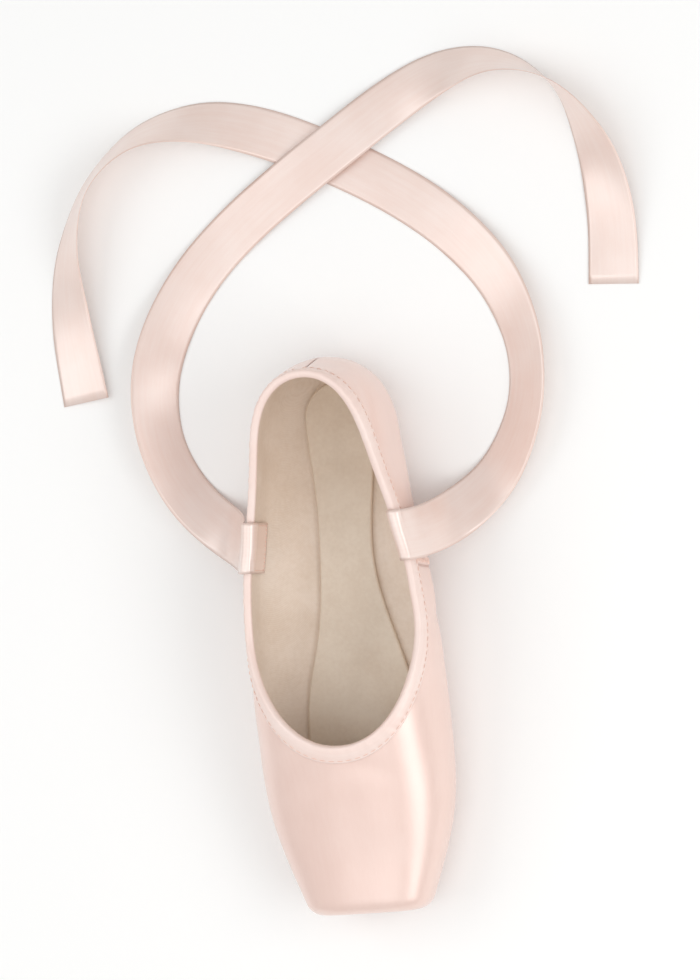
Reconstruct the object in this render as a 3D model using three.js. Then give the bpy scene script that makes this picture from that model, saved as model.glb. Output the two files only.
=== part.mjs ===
// A pointe shoe that stands empty on its sole, with its two ankle ribbons lying on the floor.
// Millimetres, +Z up, +X to the toe, +Y to the wearer's left. The floor is z = 0.
import * as THREE from "three";

// ---------------------------------------------------------------------------------------------
// Driving dimensions
// ---------------------------------------------------------------------------------------------
const LENGTH = 240; // heel back to platform
const BALL_WIDTH = 83.5;
const INSTEP = 50; // height of the vamp at the throat point
const HEEL_HEIGHT = 61.5; // height of the collar at the heel back

const FLOOR_GAP = 0.3; // clearance that meeting pieces keep
const SOLE_THICKNESS = 2.6;
const INSOLE_THICKNESS = 2.4;
const QUARTER_WALL = 1.9;
const BOX_WALL = 3;
const BOX_WALL_START = 150; // from here the glued layers of the box thicken the wall
const BOX_WALL_FULL = 200;
const PLATFORM_EDGE = 5; // rounding between the platform and the sides of the box

const HEEL_ROUND = 42; // length over which the heel closes
const HEEL_LEAN = 96; // length over which the lean of the heel fades out
const ARCH_START = 46;
const ARCH_END = 130;
const ARCH_RISE = 5.5;
const TOE_SPRING_START = 172;
const TOE_SPRING = 3.4;

const THROAT_POINT = 168; // from the heel back to the lowest point of the vamp's opening
const THROAT_START = 103; // where the oval of the throat reaches its full width
const THROAT_BLEND = 34; // length over which the collar passes into the oval
const THROAT_WIDTH = 80;
const THROAT_ROUNDNESS = 2.1; // 2 is an ellipse, and more is squarer

const SOLE_START = 9;
const SOLE_END = 205;
const SOLE_HEEL_ROUND = 17;
const SOLE_TOE_ROUND = 30;
const OPENING_INSET = 7; // the upper turns in under the insole by this much
const INSOLE_INSET = 2;

const BINDING_DEPTH = 6.4; // how far the collar binding reaches down the outside
const BINDING_THICKNESS = 0.9;

const RIBBON_WIDTH = 22;
const RIBBON_THICKNESS = 0.6;
const RIBBON_STEPS = 3; // between two rows of its route

// ---------------------------------------------------------------------------------------------
// Tables
// ---------------------------------------------------------------------------------------------
// The last, as shares: at of LENGTH, half of half the BALL_WIDTH, flat (the level underside) of the
// same, girth (height of the widest line) and crown (top of the closed form) of INSTEP. low and high
// are the roundness of the section below and above the girth.
const LAST = [
  { at: 0.0, half: 0.69, flat: 0.42, girth: 0.42, crown: 1.66, low: 2.1, high: 2.05 },
  { at: 0.11, half: 0.72, flat: 0.42, girth: 0.43, crown: 1.64, low: 2.1, high: 2.05 },
  { at: 0.25, half: 0.81, flat: 0.37, girth: 0.46, crown: 1.56, low: 2.1, high: 2.15 },
  { at: 0.4, half: 0.94, flat: 0.36, girth: 0.48, crown: 1.42, low: 2.1, high: 2.4 },
  { at: 0.55, half: 1.0, flat: 0.56, girth: 0.46, crown: 1.2, low: 2.2, high: 2.45 },
  { at: 0.69, half: 1.01, flat: 0.67, girth: 0.4, crown: 1.01, low: 2.3, high: 2.4 },
  { at: 0.83, half: 0.95, flat: 0.62, girth: 0.37, crown: 0.84, low: 2.4, high: 2.4 },
  { at: 0.92, half: 0.795, flat: 0.44, girth: 0.36, crown: 0.745, low: 2.5, high: 2.6 },
  { at: 1.0, half: 0.62, flat: 0.3, girth: 0.37, crown: 0.68, low: 2.6, high: 2.8 },
];

// How far the heel stands in from its rearmost point, by height.
const HEEL_PROFILE = [
  { at: 2.9, back: 9 },
  { at: 8, back: 3.6 },
  { at: 15, back: 0.7 },
  { at: 22, back: 0 },
  { at: 35, back: 1.6 },
  { at: 50, back: 5.6 },
  { at: 62, back: 9.4 },
  { at: 95, back: 20 },
];

// Height of the collar along the quarters, as a share of HEEL_HEIGHT.
const COLLAR = [
  { at: 0, height: 1 },
  { at: 16, height: 0.985 },
  { at: 42, height: 0.885 },
  { at: 74, height: 0.755 },
  { at: 100, height: 0.715 },
  { at: 130, height: 0.75 },
];

// Half-width of the outsole along its length.
const SOLE = [
  { at: 9, half: 16 },
  { at: 28, half: 16.4 },
  { at: 60, half: 14.2 },
  { at: 90, half: 13.6 },
  { at: 120, half: 18.6 },
  { at: 148, half: 25.4 },
  { at: 168, half: 26.4 },
  { at: 190, half: 25 },
  { at: 205, half: 23 },
];

// The ribbons' routes, from inside each quarter, over the collar, down to the floor and back behind
// the heel. x is from the heel back, lift is the height of the ribbon's lower edge above the floor,
// heading is its direction seen from above, and bank its lean to the side, both in degrees.
const RIBBON_LEFT = [
  { x: 80, y: 33.2, lift: 21, heading: 99, bank: 0 },
  { x: 80, y: 33.5, lift: 33, heading: 99, bank: 0 },
  { x: 80, y: 31.4, lift: 41.4, heading: 100, bank: -1.5 },
  { x: 80, y: 30.5, lift: 43.75, heading: 101, bank: -5 },
  { x: 80, y: 31.4, lift: 45.5, heading: 101, bank: -8 },
  { x: 80, y: 33.7, lift: 46.5, heading: 101, bank: -8 },
  { x: 79.9, y: 36, lift: 45.5, heading: 101, bank: -8 },
  { x: 79.8, y: 37.1, lift: 43.75, heading: 101, bank: -5 },
  { x: 79.4, y: 38.9, lift: 39.4, heading: 101, bank: -1.5 },
  { x: 78.4, y: 41.3, lift: 31.7, heading: 103, bank: 0 },
  { x: 76.2, y: 45.2, lift: 22, heading: 108, bank: 3 },
  { x: 72.2, y: 51, lift: 12, heading: 115, bank: 8 },
  { x: 65.6, y: 59.4, lift: 4.5, heading: 125, bank: 14 },
  { x: 55.5, y: 69.5, lift: 0.8, heading: 138, bank: 21 },
  { x: 41, y: 78.5, lift: 0.1, heading: 152, bank: 29 },
  { x: 20, y: 85, lift: 0.1, heading: 170, bank: 34 },
  { x: -4, y: 84, lift: 0.1, heading: 191, bank: 30 },
  { x: -28, y: 75, lift: 0.1, heading: 210, bank: 18 },
  { x: -50, y: 58, lift: 0.1, heading: 224, bank: 7 },
  { x: -70, y: 34, lift: 0.1, heading: 234, bank: 0 },
  { x: -86, y: 8, lift: 0.1, heading: 241, bank: 0 },
  { x: -100, y: -20, lift: 0.1, heading: 248, bank: -5 },
  { x: -109, y: -50, lift: 0.1, heading: 262, bank: -30 },
  { x: -106, y: -81, lift: 0.1, heading: 288, bank: -56 },
  { x: -88, y: -105, lift: 0.1, heading: 318, bank: -64 },
  { x: -61, y: -117, lift: 0.1, heading: 343, bank: -48 },
  { x: -31, y: -120, lift: 0.1, heading: 358, bank: -22 },
  { x: 8, y: -117, lift: 0.1, heading: 365, bank: -5 },
];
const RIBBON_RIGHT = [
  { x: 80, y: -33.2, lift: 21, heading: -99, bank: 0 },
  { x: 80, y: -33.5, lift: 33, heading: -99, bank: 0 },
  { x: 80, y: -31.4, lift: 41.4, heading: -100, bank: 1.5 },
  { x: 80, y: -30.5, lift: 43.75, heading: -101, bank: 5 },
  { x: 80, y: -31.4, lift: 45.5, heading: -101, bank: 8 },
  { x: 80, y: -33.7, lift: 46.5, heading: -101, bank: 8 },
  { x: 79.9, y: -36, lift: 45.5, heading: -101, bank: 8 },
  { x: 79.8, y: -37.1, lift: 43.75, heading: -101, bank: 5 },
  { x: 79.5, y: -38.9, lift: 39.4, heading: -101, bank: 1.5 },
  { x: 78.6, y: -41.2, lift: 31.7, heading: -102, bank: 0 },
  { x: 76.8, y: -44.9, lift: 22, heading: -105, bank: -3 },
  { x: 73.3, y: -50.6, lift: 12, heading: -111, bank: -8 },
  { x: 67.2, y: -58.9, lift: 4.5, heading: -121, bank: -15 },
  { x: 57.2, y: -68.8, lift: 0.8, heading: -134, bank: -24 },
  { x: 42, y: -77.5, lift: 0.1, heading: -150, bank: -34 },
  { x: 21, y: -82.8, lift: 0.1, heading: -170, bank: -38 },
  { x: -3, y: -81.5, lift: 0.1, heading: -190, bank: -28 },
  { x: -26, y: -72.3, lift: 0.1, heading: -209, bank: -13 },
  { x: -47, y: -56.5, lift: 0.3, heading: -223, bank: -3 },
  { x: -66, y: -34, lift: 1.2, heading: -234, bank: 0 },
  { x: -83, y: -8, lift: 2.6, heading: -239, bank: 0 },
  { x: -99, y: 18, lift: 2.4, heading: -240, bank: 3 },
  { x: -114, y: 45, lift: 0.6, heading: -246, bank: 14 },
  { x: -121, y: 75, lift: 0.1, heading: -264, bank: 48 },
  { x: -111, y: 104, lift: 0.1, heading: -301, bank: 90 },
  { x: -86, y: 121, lift: 0.1, heading: -333, bank: 132 },
  { x: -57, y: 127, lift: 0.1, heading: -354, bank: 164 },
  { x: -20, y: 125.5, lift: 0.1, heading: -364, bank: 180 },
];

// ---------------------------------------------------------------------------------------------
// Curves
// ---------------------------------------------------------------------------------------------
// A natural cubic spline through one column of a table, as a function of its "at" column.
function smooth(table, column) {
  const at = table.map((row) => row.at);
  const value = table.map((row) => row[column]);
  const last = table.length - 1;
  const bend = new Array(last + 1).fill(0);
  const carry = new Array(last + 1).fill(0);
  for (let i = 1; i < last; i++) {
    const share = (at[i] - at[i - 1]) / (at[i + 1] - at[i - 1]);
    const pivot = share * bend[i - 1] + 2;
    const after = (value[i + 1] - value[i]) / (at[i + 1] - at[i]);
    const before = (value[i] - value[i - 1]) / (at[i] - at[i - 1]);
    bend[i] = (share - 1) / pivot;
    carry[i] = ((6 * (after - before)) / (at[i + 1] - at[i - 1]) - share * carry[i - 1]) / pivot;
  }
  bend[last] = 0;
  for (let i = last - 1; i >= 0; i--) bend[i] = bend[i] * bend[i + 1] + carry[i];
  return (x) => {
    let i = 0;
    while (i < last - 1 && x > at[i + 1]) i++;
    const step = at[i + 1] - at[i];
    const b = (x - at[i]) / step;
    const a = 1 - b;
    const cubic = (a ** 3 - a) * bend[i] + (b ** 3 - b) * bend[i + 1];
    return a * value[i] + b * value[i + 1] + (cubic * step * step) / 6;
  };
}

const clamp01 = (x) => Math.min(1, Math.max(0, x));
const ease = (x) => clamp01(x) ** 2 * (3 - 2 * clamp01(x));

// Finds where a test turns from true to false between two values.
function edgeOf(test, low, high) {
  for (let i = 0; i < 44; i++) {
    const middle = (low + high) / 2;
    if (test(middle)) low = middle;
    else high = middle;
  }
  return (low + high) / 2;
}

// ---------------------------------------------------------------------------------------------
// The last: the closed form that the upper is shaped on
// ---------------------------------------------------------------------------------------------
const lastHalf = smooth(LAST, "half");
const lastFlat = smooth(LAST, "flat");
const lastGirth = smooth(LAST, "girth");
const lastCrown = smooth(LAST, "crown");
const lastLow = smooth(LAST, "low");
const lastHigh = smooth(LAST, "high");
const heelBack = smooth(HEEL_PROFILE, "back");

// Height of the level underside of the upper.
function undersideAt(x) {
  const arch = x > ARCH_START && x < ARCH_END ? (x - ARCH_START) / (ARCH_END - ARCH_START) : 0;
  const spring = Math.max(0, x - TOE_SPRING_START) / (LENGTH - TOE_SPRING_START);
  const rise = ARCH_RISE * Math.sin(Math.PI * arch) ** 2 + TOE_SPRING * spring ** 2;
  return SOLE_THICKNESS + FLOOR_GAP + rise;
}

// The cross-section at a distance from the heel, with the heel and the platform's edge rounded in.
function sectionAt(x, z) {
  const fade = clamp01(1 - x / HEEL_LEAN) ** 2;
  const along = x - heelBack(z) * fade;
  if (along <= 0 || x >= LENGTH) return null;
  const closing = along < HEEL_ROUND ? Math.sqrt(1 - (1 - along / HEEL_ROUND) ** 3) : 1;
  const over = Math.max(0, x - (LENGTH - PLATFORM_EDGE));
  const inset = PLATFORM_EDGE - Math.sqrt(PLATFORM_EDGE ** 2 - over ** 2);
  const share = along / LENGTH;
  const full = (lastHalf(share) * BALL_WIDTH) / 2;
  const flat = (lastFlat(share) * BALL_WIDTH) / 2;
  const low = lastLow(share);
  const girth = lastGirth(share) * INSTEP;
  const floor = undersideAt(x) + inset;
  return {
    half: full * closing - inset,
    floor,
    girth,
    crown: lastCrown(share) * INSTEP - inset,
    drop: (girth - floor) / (1 - (flat / full) ** low) ** (1 / low),
    low,
    high: lastHigh(share),
  };
}

function insideLast(point) {
  const section = sectionAt(point.x, point.z);
  if (!section || point.z <= section.floor) return false;
  const lower = point.z < section.girth;
  const power = lower ? section.low : section.high;
  const reach = lower ? section.drop : section.crown - section.girth;
  const across = Math.abs(point.y) / section.half;
  const up = Math.abs(point.z - section.girth) / reach;
  return across ** power + up ** power < 1;
}

// Height of the last's top surface at a distance across from the middle.
function topAt(x, across) {
  const section = sectionAt(x, INSTEP);
  const share = clamp01(across / section.half);
  const rise = (1 - share ** section.high) ** (1 / section.high);
  return section.girth + (section.crown - section.girth) * rise;
}

// ---------------------------------------------------------------------------------------------
// The two openings of the upper
// ---------------------------------------------------------------------------------------------
const throatHalf = (x) => {
  const along = clamp01((x - THROAT_START) / (THROAT_POINT - THROAT_START));
  return (THROAT_WIDTH / 2) * (1 - along ** THROAT_ROUNDNESS) ** (1 / THROAT_ROUNDNESS);
};
const quarterTop = smooth(COLLAR, "height");

// Height at which the collar and throat cut the last.
function collarAt(x) {
  if (x >= THROAT_POINT) return Infinity;
  const throat = ease((x - THROAT_START) / THROAT_BLEND);
  const oval = throat > 0 ? topAt(x, throatHalf(x)) : 0;
  return quarterTop(x) * HEEL_HEIGHT * (1 - throat) + oval * throat;
}

// Half-width of the outsole's outline, or of the same outline drawn further in.
const soleWidth = smooth(SOLE, "half");
function soleHalf(x, inset = 0) {
  const heel = clamp01((x - SOLE_START - inset) / (SOLE_HEEL_ROUND - inset));
  const toe = clamp01((SOLE_END - inset - x) / (SOLE_TOE_ROUND - inset));
  const round = Math.sqrt(1 - (1 - heel) ** 2) * (1 - (1 - toe) ** 2.2) ** (1 / 2.2);
  return Math.max(0, (soleWidth(x) - inset) * round);
}

// ---------------------------------------------------------------------------------------------
// The upper's grid: columns round the shoe, rows from the sole opening to the collar
// ---------------------------------------------------------------------------------------------
const COLUMNS = 88; // a multiple of 2
const ROWS = 20;
const BINDING_ROWS = 2; // the last rows follow the binding
const TURN_WEIGHT = 9; // millimetres that a turn of one radian counts for when points are spread
const SPINE_START = 45; // the columns fan out round a line inside the shoe between these two
const SPINE_END = 150;
const SPINE_HEIGHT = 24;

// Positions along a fine line that share its length, and its turning, into equal steps.
function evenSteps(points, steps) {
  const weight = [0];
  for (let i = 1; i < points.length; i++) {
    const way = points[i].clone().sub(points[i - 1]);
    const next = points[Math.min(i + 1, points.length - 1)].clone().sub(points[i]);
    const turn = next.length() > 0 ? way.angleTo(next) : 0;
    weight.push(weight[i - 1] + way.length() + TURN_WEIGHT * turn);
  }
  const total = weight[weight.length - 1];
  const found = [];
  for (let k = 0, i = 0; k <= steps; k++) {
    const wanted = (total * k) / steps;
    while (i < points.length - 2 && weight[i + 1] < wanted) i++;
    found.push(i + clamp01((wanted - weight[i]) / (weight[i + 1] - weight[i])));
  }
  return found;
}

// Half of the shoe's widest outline, from the heel back round to the middle of the platform.
function planOutline() {
  const fine = [new THREE.Vector2(0, 0)];
  const heelPoints = 60;
  for (let i = 1; i <= heelPoints; i++) {
    const x = HEEL_ROUND * (i / heelPoints) ** 2;
    fine.push(new THREE.Vector2(x, sectionAt(x, lastGirth(0.1) * INSTEP).half));
  }
  for (let x = HEEL_ROUND + 1; x < LENGTH - PLATFORM_EDGE; x++) {
    fine.push(new THREE.Vector2(x, sectionAt(x, SPINE_HEIGHT).half));
  }
  const edgePoints = 12;
  for (let i = 0; i < edgePoints; i++) {
    const x = LENGTH - PLATFORM_EDGE * (1 - Math.sin(((i / edgePoints) * Math.PI) / 2));
    fine.push(new THREE.Vector2(x, sectionAt(x, SPINE_HEIGHT).half));
  }
  const corner = fine[fine.length - 1].y;
  const facePoints = 20;
  for (let i = 1; i <= facePoints; i++) {
    fine.push(new THREE.Vector2(LENGTH, corner * (1 - i / facePoints)));
  }
  return fine;
}

// The columns, each a starting point on the spine and a level heading.
function makeColumns() {
  const fine = planOutline();
  const half = COLUMNS / 2;
  const left = evenSteps(fine, half).map((place) => {
    const i = Math.min(Math.floor(place), fine.length - 2);
    return fine[i].clone().lerp(fine[i + 1], place - i);
  });
  const right = left.slice(1, half).reverse();
  return [...left, ...right.map((p) => new THREE.Vector2(p.x, -p.y))].map((p) => {
    const spine = Math.min(SPINE_END, Math.max(SPINE_START, p.x));
    const heading = new THREE.Vector3(p.x - spine, p.y, 0).normalize();
    return { start: new THREE.Vector3(spine, 0, SPINE_HEIGHT), heading };
  });
}

// The point of the last's surface that a column sees at an angle above the level.
function surfacePoint(column, angle) {
  const ray = column.heading.clone().multiplyScalar(Math.cos(angle));
  ray.z = Math.sin(angle);
  const at = (distance) => column.start.clone().addScaledVector(ray, distance);
  return at(edgeOf((distance) => insideLast(at(distance)), 0, LENGTH));
}

// One column's points from the edge of the sole opening up to the collar.
function columnPoints(column) {
  const onPlan = (distance) => column.start.clone().addScaledVector(column.heading, distance);
  const isOpen = (distance) => {
    const p = onPlan(distance);
    return Math.abs(p.y) < soleHalf(p.x, OPENING_INSET);
  };
  const away = edgeOf(isOpen, 0, LENGTH);
  const fromAngle = Math.atan2(undersideAt(onPlan(away).x) - SPINE_HEIGHT, away);
  const isBelowCollar = (angle) => {
    const p = surfacePoint(column, angle);
    return p.z < collarAt(p.x);
  };
  const scanSteps = 200;
  const steepest = 1.5;
  let scan = 1;
  const scanAngle = (i) => fromAngle + ((steepest - fromAngle) * i) / scanSteps;
  while (scan < scanSteps && isBelowCollar(scanAngle(scan))) scan++;
  const toAngle = edgeOf(isBelowCollar, scanAngle(scan - 1), scanAngle(scan));

  const fineSteps = 240;
  const angleStep = (toAngle - fromAngle) / fineSteps;
  const angles = Array.from({ length: fineSteps + 1 }, (_, i) => fromAngle + angleStep * i);
  const fine = angles.map((angle) => surfacePoint(column, angle));
  const pointAt = (place) => {
    const i = Math.min(Math.floor(place), fineSteps - 1);
    return surfacePoint(column, angles[i] + (angles[i + 1] - angles[i]) * (place - i));
  };

  // The rows under the binding lie at set distances below the collar's edge.
  const bindingPlaces = [];
  let travelled = 0;
  for (let i = fineSteps; i > 0 && bindingPlaces.length < BINDING_ROWS; i--) {
    const step = fine[i].distanceTo(fine[i - 1]);
    const wanted = (BINDING_DEPTH * (bindingPlaces.length + 1)) / BINDING_ROWS;
    if (travelled + step >= wanted) bindingPlaces.push(i - (wanted - travelled) / step);
    travelled += step;
  }
  const lowest = Math.floor(bindingPlaces[BINDING_ROWS - 1]);
  const places = evenSteps(fine.slice(0, lowest + 1), ROWS - BINDING_ROWS);
  places[places.length - 1] = bindingPlaces[BINDING_ROWS - 1];
  for (let i = BINDING_ROWS - 2; i >= 0; i--) places.push(bindingPlaces[i]);
  places.push(fineSteps);
  return places.map(pointAt);
}

function wallAt(x) {
  const share = ease((x - BOX_WALL_START) / (BOX_WALL_FULL - BOX_WALL_START));
  return QUARTER_WALL + (BOX_WALL - QUARTER_WALL) * share;
}

// Outward directions of a grid of points that closes on itself round the shoe.
function gridNormals(grid) {
  return grid.map((points, c) => {
    const before = grid[(c + grid.length - 1) % grid.length];
    const after = grid[(c + 1) % grid.length];
    return points.map((_, r) => {
      const round = after[r].clone().sub(before[r]);
      const up = points[Math.min(r + 1, points.length - 1)].clone().sub(points[Math.max(r - 1, 0)]);
      return up.cross(round).normalize();
    });
  });
}

// ---------------------------------------------------------------------------------------------
// Mesh building
// ---------------------------------------------------------------------------------------------
const solidGroup = new THREE.Group();

function addMesh(name, points, triangles, finish) {
  const geometry = new THREE.BufferGeometry();
  const flatPoints = points.flatMap((p) => [p.x - LENGTH / 2, p.y, p.z]);
  geometry.setAttribute("position", new THREE.Float32BufferAttribute(flatPoints, 3));
  geometry.setIndex(triangles.flat());
  geometry.computeVertexNormals();
  const mesh = new THREE.Mesh(geometry, new THREE.MeshStandardMaterial({ metalness: 0, ...finish }));
  mesh.name = name;
  solidGroup.add(mesh);
}

// Joins each ring of points to the next, and the last to the first where it is a closed band. Each
// four-sided cell is split along one diagonal, and along the other one where isFlipped says so.
function bandTriangles(ringCount, ringSize, isClosed, isFlipped = () => false) {
  const triangles = [];
  for (let ring = 0; ring < (isClosed ? ringCount : ringCount - 1); ring++) {
    const next = (ring + 1) % ringCount;
    for (let i = 0; i < ringSize; i++) {
      const j = (i + 1) % ringSize;
      const [a, b] = [ring * ringSize + i, ring * ringSize + j];
      const [c, d] = [next * ringSize + i, next * ringSize + j];
      const halves = isFlipped(i) ? [[a, b, d], [a, d, c]] : [[a, b, c], [b, d, c]];
      triangles.push(...halves);
    }
  }
  return triangles;
}

// ---------------------------------------------------------------------------------------------
// Pieces
// ---------------------------------------------------------------------------------------------
const columns = makeColumns();
const outerGrid = columns.map(columnPoints);
const outward = gridNormals(outerGrid);
const innerGrid = outerGrid.map((points, c) =>
  points.map((p, r) => p.clone().addScaledVector(outward[c][r], -wallAt(p.x))),
);

function addUpper() {
  const rings = outerGrid.map((points, c) => [...points, ...[...innerGrid[c]].reverse()]);
  const triangles = bandTriangles(rings.length, rings[0].length, true);
  addMesh("upper", rings.flat(), triangles, { color: 0xf3d5c8, roughness: 0.42 });
}

// The binding folds over the collar's edge: a leg down each side, joined above the edge.
function addBinding() {
  const near = FLOOR_GAP;
  const far = FLOOR_GAP + BINDING_THICKNESS;
  const rings = outerGrid.map((outer, c) => {
    const inner = innerGrid[c];
    const away = outward[c];
    const rise = outer[ROWS].clone().sub(outer[ROWS - 1]).normalize();
    const off = (p, row, aside, above) =>
      p.clone().addScaledVector(away[row], aside).addScaledVector(rise, above);
    const ridge = outer[ROWS].clone().lerp(inner[ROWS], 0.5);
    return [
      off(outer[ROWS - 2], ROWS - 2, near, 0),
      off(outer[ROWS - 2], ROWS - 2, far - 0.3, 0),
      off(outer[ROWS - 1], ROWS - 1, far, 0),
      off(outer[ROWS], ROWS, far, near),
      off(ridge, ROWS, 0, far + 0.5),
      off(inner[ROWS], ROWS, -far, near),
      off(inner[ROWS - 1], ROWS - 1, -far + 0.2, 0),
      off(inner[ROWS - 1], ROWS - 1, -near, 0),
      off(inner[ROWS], ROWS, -near, near),
      off(outer[ROWS], ROWS, near, near),
      off(outer[ROWS - 1], ROWS - 1, near, 0),
    ];
  });
  const triangles = bandTriangles(rings.length, rings[0].length, true);
  addMesh("collar_binding", rings.flat(), triangles, { color: 0xf6dcd0, roughness: 0.4 });
}

// A level outline of the sole's shape, drawn further in by an inset, starting at the heel.
function soleOutline(inset) {
  const halfSteps = 34;
  const from = SOLE_START + inset;
  const to = SOLE_END - inset;
  const left = [];
  for (let i = 0; i <= halfSteps; i++) {
    const turn = (1 - Math.cos((Math.PI * i) / halfSteps)) / 2;
    const x = from + (to - from) * (0.75 * turn + (0.25 * i) / halfSteps);
    left.push(new THREE.Vector3(x, soleHalf(x, inset), 0));
  }
  const right = left.slice(1, halfSteps).reverse();
  return [...left, ...right.map((p) => new THREE.Vector3(p.x, -p.y, 0))];
}

// A sheet of the sole's outline between two heights, with its upper and lower edges eased.
function addSheet(name, inset, bottomAt, thickness, bevel, finish) {
  const levels = [
    { aside: bevel, above: 0 },
    { aside: 0, above: bevel },
    { aside: 0, above: thickness - bevel },
    { aside: bevel, above: thickness },
  ];
  const rings = levels.map(({ aside, above }) =>
    soleOutline(inset + aside).map((p) => new THREE.Vector3(p.x, p.y, bottomAt(p.x) + above)),
  );
  const size = rings[0].length;
  const triangles = bandTriangles(rings.length, size, false).map(([a, b, c]) => [a, c, b]);
  const top = (rings.length - 1) * size;
  for (let i = 0; i < size / 2; i++) {
    const [a, b] = [i, i + 1];
    const [c, d] = [(size - i) % size, size - i - 1];
    const quad = i === 0 ? [[a, b, d]] : [[a, b, c], [b, d, c]];
    const cap = i === size / 2 - 1 ? [[a, b, c]] : quad;
    triangles.push(...cap);
    triangles.push(...cap.map(([p, q, r]) => [top + p, top + r, top + q]));
  }
  addMesh(name, rings.flat(), triangles, finish);
}

function addSoles() {
  const soleBottom = (x) => undersideAt(x) - FLOOR_GAP - SOLE_THICKNESS;
  addSheet("outsole", 0, soleBottom, SOLE_THICKNESS, 0.6, { color: 0xf0dcc4, roughness: 0.7 });
  const insoleBottom = (x) => undersideAt(x) + wallAt(x) + FLOOR_GAP;
  addSheet("insole", INSOLE_INSET, insoleBottom, INSOLE_THICKNESS, 0.5, { color: 0xece2d4, roughness: 0.9 });
}

// A ribbon laid along its route, on a smooth line through the route's rows.
function addRibbon(name, route) {
  let travelled = 0;
  const table = route.map((row, i) => {
    const before = route[Math.max(i - 1, 0)];
    travelled += Math.hypot(row.x - before.x, row.y - before.y, row.lift - before.lift);
    return { ...row, at: travelled };
  });
  const names = ["x", "y", "lift", "heading", "bank"];
  const [x, y, lift, heading, bank] = names.map((column) => smooth(table, column));
  const halfWidth = RIBBON_WIDTH / 2;
  const halfThickness = RIBBON_THICKNESS / 2;
  const centres = [];
  const rights = [];
  const steps = (route.length - 1) * RIBBON_STEPS;
  for (let k = 0; k <= steps; k++) {
    const row = Math.min(Math.floor(k / RIBBON_STEPS), route.length - 2);
    const share = k / RIBBON_STEPS - row;
    const at = table[row].at * (1 - share) + table[row + 1].at * share;
    const lean = THREE.MathUtils.degToRad(bank(at));
    const turn = THREE.MathUtils.degToRad(heading(at));
    const height = Math.max(0.1, lift(at)) + halfWidth * Math.abs(Math.sin(lean)) + halfThickness;
    centres.push(new THREE.Vector3(x(at), y(at), height));
    const level = new THREE.Vector3(Math.sin(turn), -Math.cos(turn), 0);
    rights.push(level.multiplyScalar(Math.cos(lean)).setZ(Math.sin(lean)));
  }
  const rings = centres.map((centre, k) => {
    const ahead = centres[Math.min(k + 1, steps)].clone().sub(centres[Math.max(k - 1, 0)]).normalize();
    const right = rights[k].clone().addScaledVector(ahead, -rights[k].dot(ahead)).normalize();
    const face = right.clone().cross(ahead);
    const corner = (side, top) =>
      centre.clone().addScaledVector(right, side * halfWidth).addScaledVector(face, top * halfThickness);
    return [corner(1, -1), corner(-1, -1), corner(-1, 1), corner(1, 1)];
  });
  // The two broad faces are split alike, which keeps them apart where the ribbon twists.
  const upperFace = 2;
  const end = 4 * steps;
  const triangles = bandTriangles(rings.length, 4, false, (side) => side === upperFace);
  triangles.push([0, 2, 1], [0, 3, 2], [end, end + 1, end + 2], [end, end + 2, end + 3]);
  addMesh(name, rings.flat(), triangles, { color: 0xf4dfd2, roughness: 0.4 });
}

addUpper();
addBinding();
addSoles();
addRibbon("ribbon_left", RIBBON_LEFT);
addRibbon("ribbon_right", RIBBON_RIGHT);

export default solidGroup;
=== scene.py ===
"""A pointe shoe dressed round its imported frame: satin, pleats, seams, sole, stitches and ribbons."""

import logging
import math
from dataclasses import dataclass, field
from enum import Enum
from typing import Any, Callable, Optional, Sequence

import bpy
import numpy as np
from mathutils import Matrix, Vector


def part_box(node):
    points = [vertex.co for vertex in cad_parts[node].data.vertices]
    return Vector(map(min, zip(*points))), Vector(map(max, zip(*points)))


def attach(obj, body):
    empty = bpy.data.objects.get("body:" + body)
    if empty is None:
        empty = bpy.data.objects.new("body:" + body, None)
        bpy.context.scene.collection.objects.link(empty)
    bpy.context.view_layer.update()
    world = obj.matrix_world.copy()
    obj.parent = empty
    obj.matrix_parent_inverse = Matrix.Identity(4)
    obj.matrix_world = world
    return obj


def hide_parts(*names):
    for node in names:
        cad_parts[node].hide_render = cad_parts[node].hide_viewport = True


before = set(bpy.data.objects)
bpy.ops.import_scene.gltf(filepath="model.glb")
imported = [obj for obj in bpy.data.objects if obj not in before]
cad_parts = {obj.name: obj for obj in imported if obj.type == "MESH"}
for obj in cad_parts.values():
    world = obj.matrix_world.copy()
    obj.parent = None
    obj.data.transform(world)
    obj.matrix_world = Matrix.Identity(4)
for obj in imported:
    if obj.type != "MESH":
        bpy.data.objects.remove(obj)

LOG = logging.getLogger("pointe_shoe")
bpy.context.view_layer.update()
MM = 0.001
BODY = "root"

Array = np.ndarray
Colour = tuple[float, float, float, float]
Face = tuple[int, ...]
Material = bpy.types.Material


# ------------------------------------ Small sums ------------------------------------
def shade(red: int, green: int, blue: int) -> Colour:
    """Turns a display colour into linear light.

    Args:
        red: Red as displayed, 0 to 255.
        green: Green as displayed.
        blue: Blue as displayed.

    Returns:
        The colour in linear light, with full alpha.
    """
    parts = [channel / 255 for channel in (red, green, blue)]
    linear = [p / 12.92 if p <= 0.04045 else ((p + 0.055) / 1.055) ** 2.4 for p in parts]
    return (linear[0], linear[1], linear[2], 1.0)


def ease(x: Any) -> Any:
    """Rises smoothly from 0 to 1 as x does."""
    held = np.clip(x, 0.0, 1.0)
    return held * held * (3 - 2 * held)


def rise(x: Any, start: float, length: float) -> Any:
    """Rises smoothly from 0 at start to 1 a length further on."""
    return ease((x - start) / length)


def bell(x: Any) -> Any:
    """A soft bump, 1 at the middle and near 0 from about 2 outwards."""
    return np.exp(-(x * x))


def unit(vectors: Array) -> Array:
    """Scales each vector to a length of 1."""
    return vectors / np.maximum(np.linalg.norm(vectors, axis=-1, keepdims=True), 1e-12)


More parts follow.
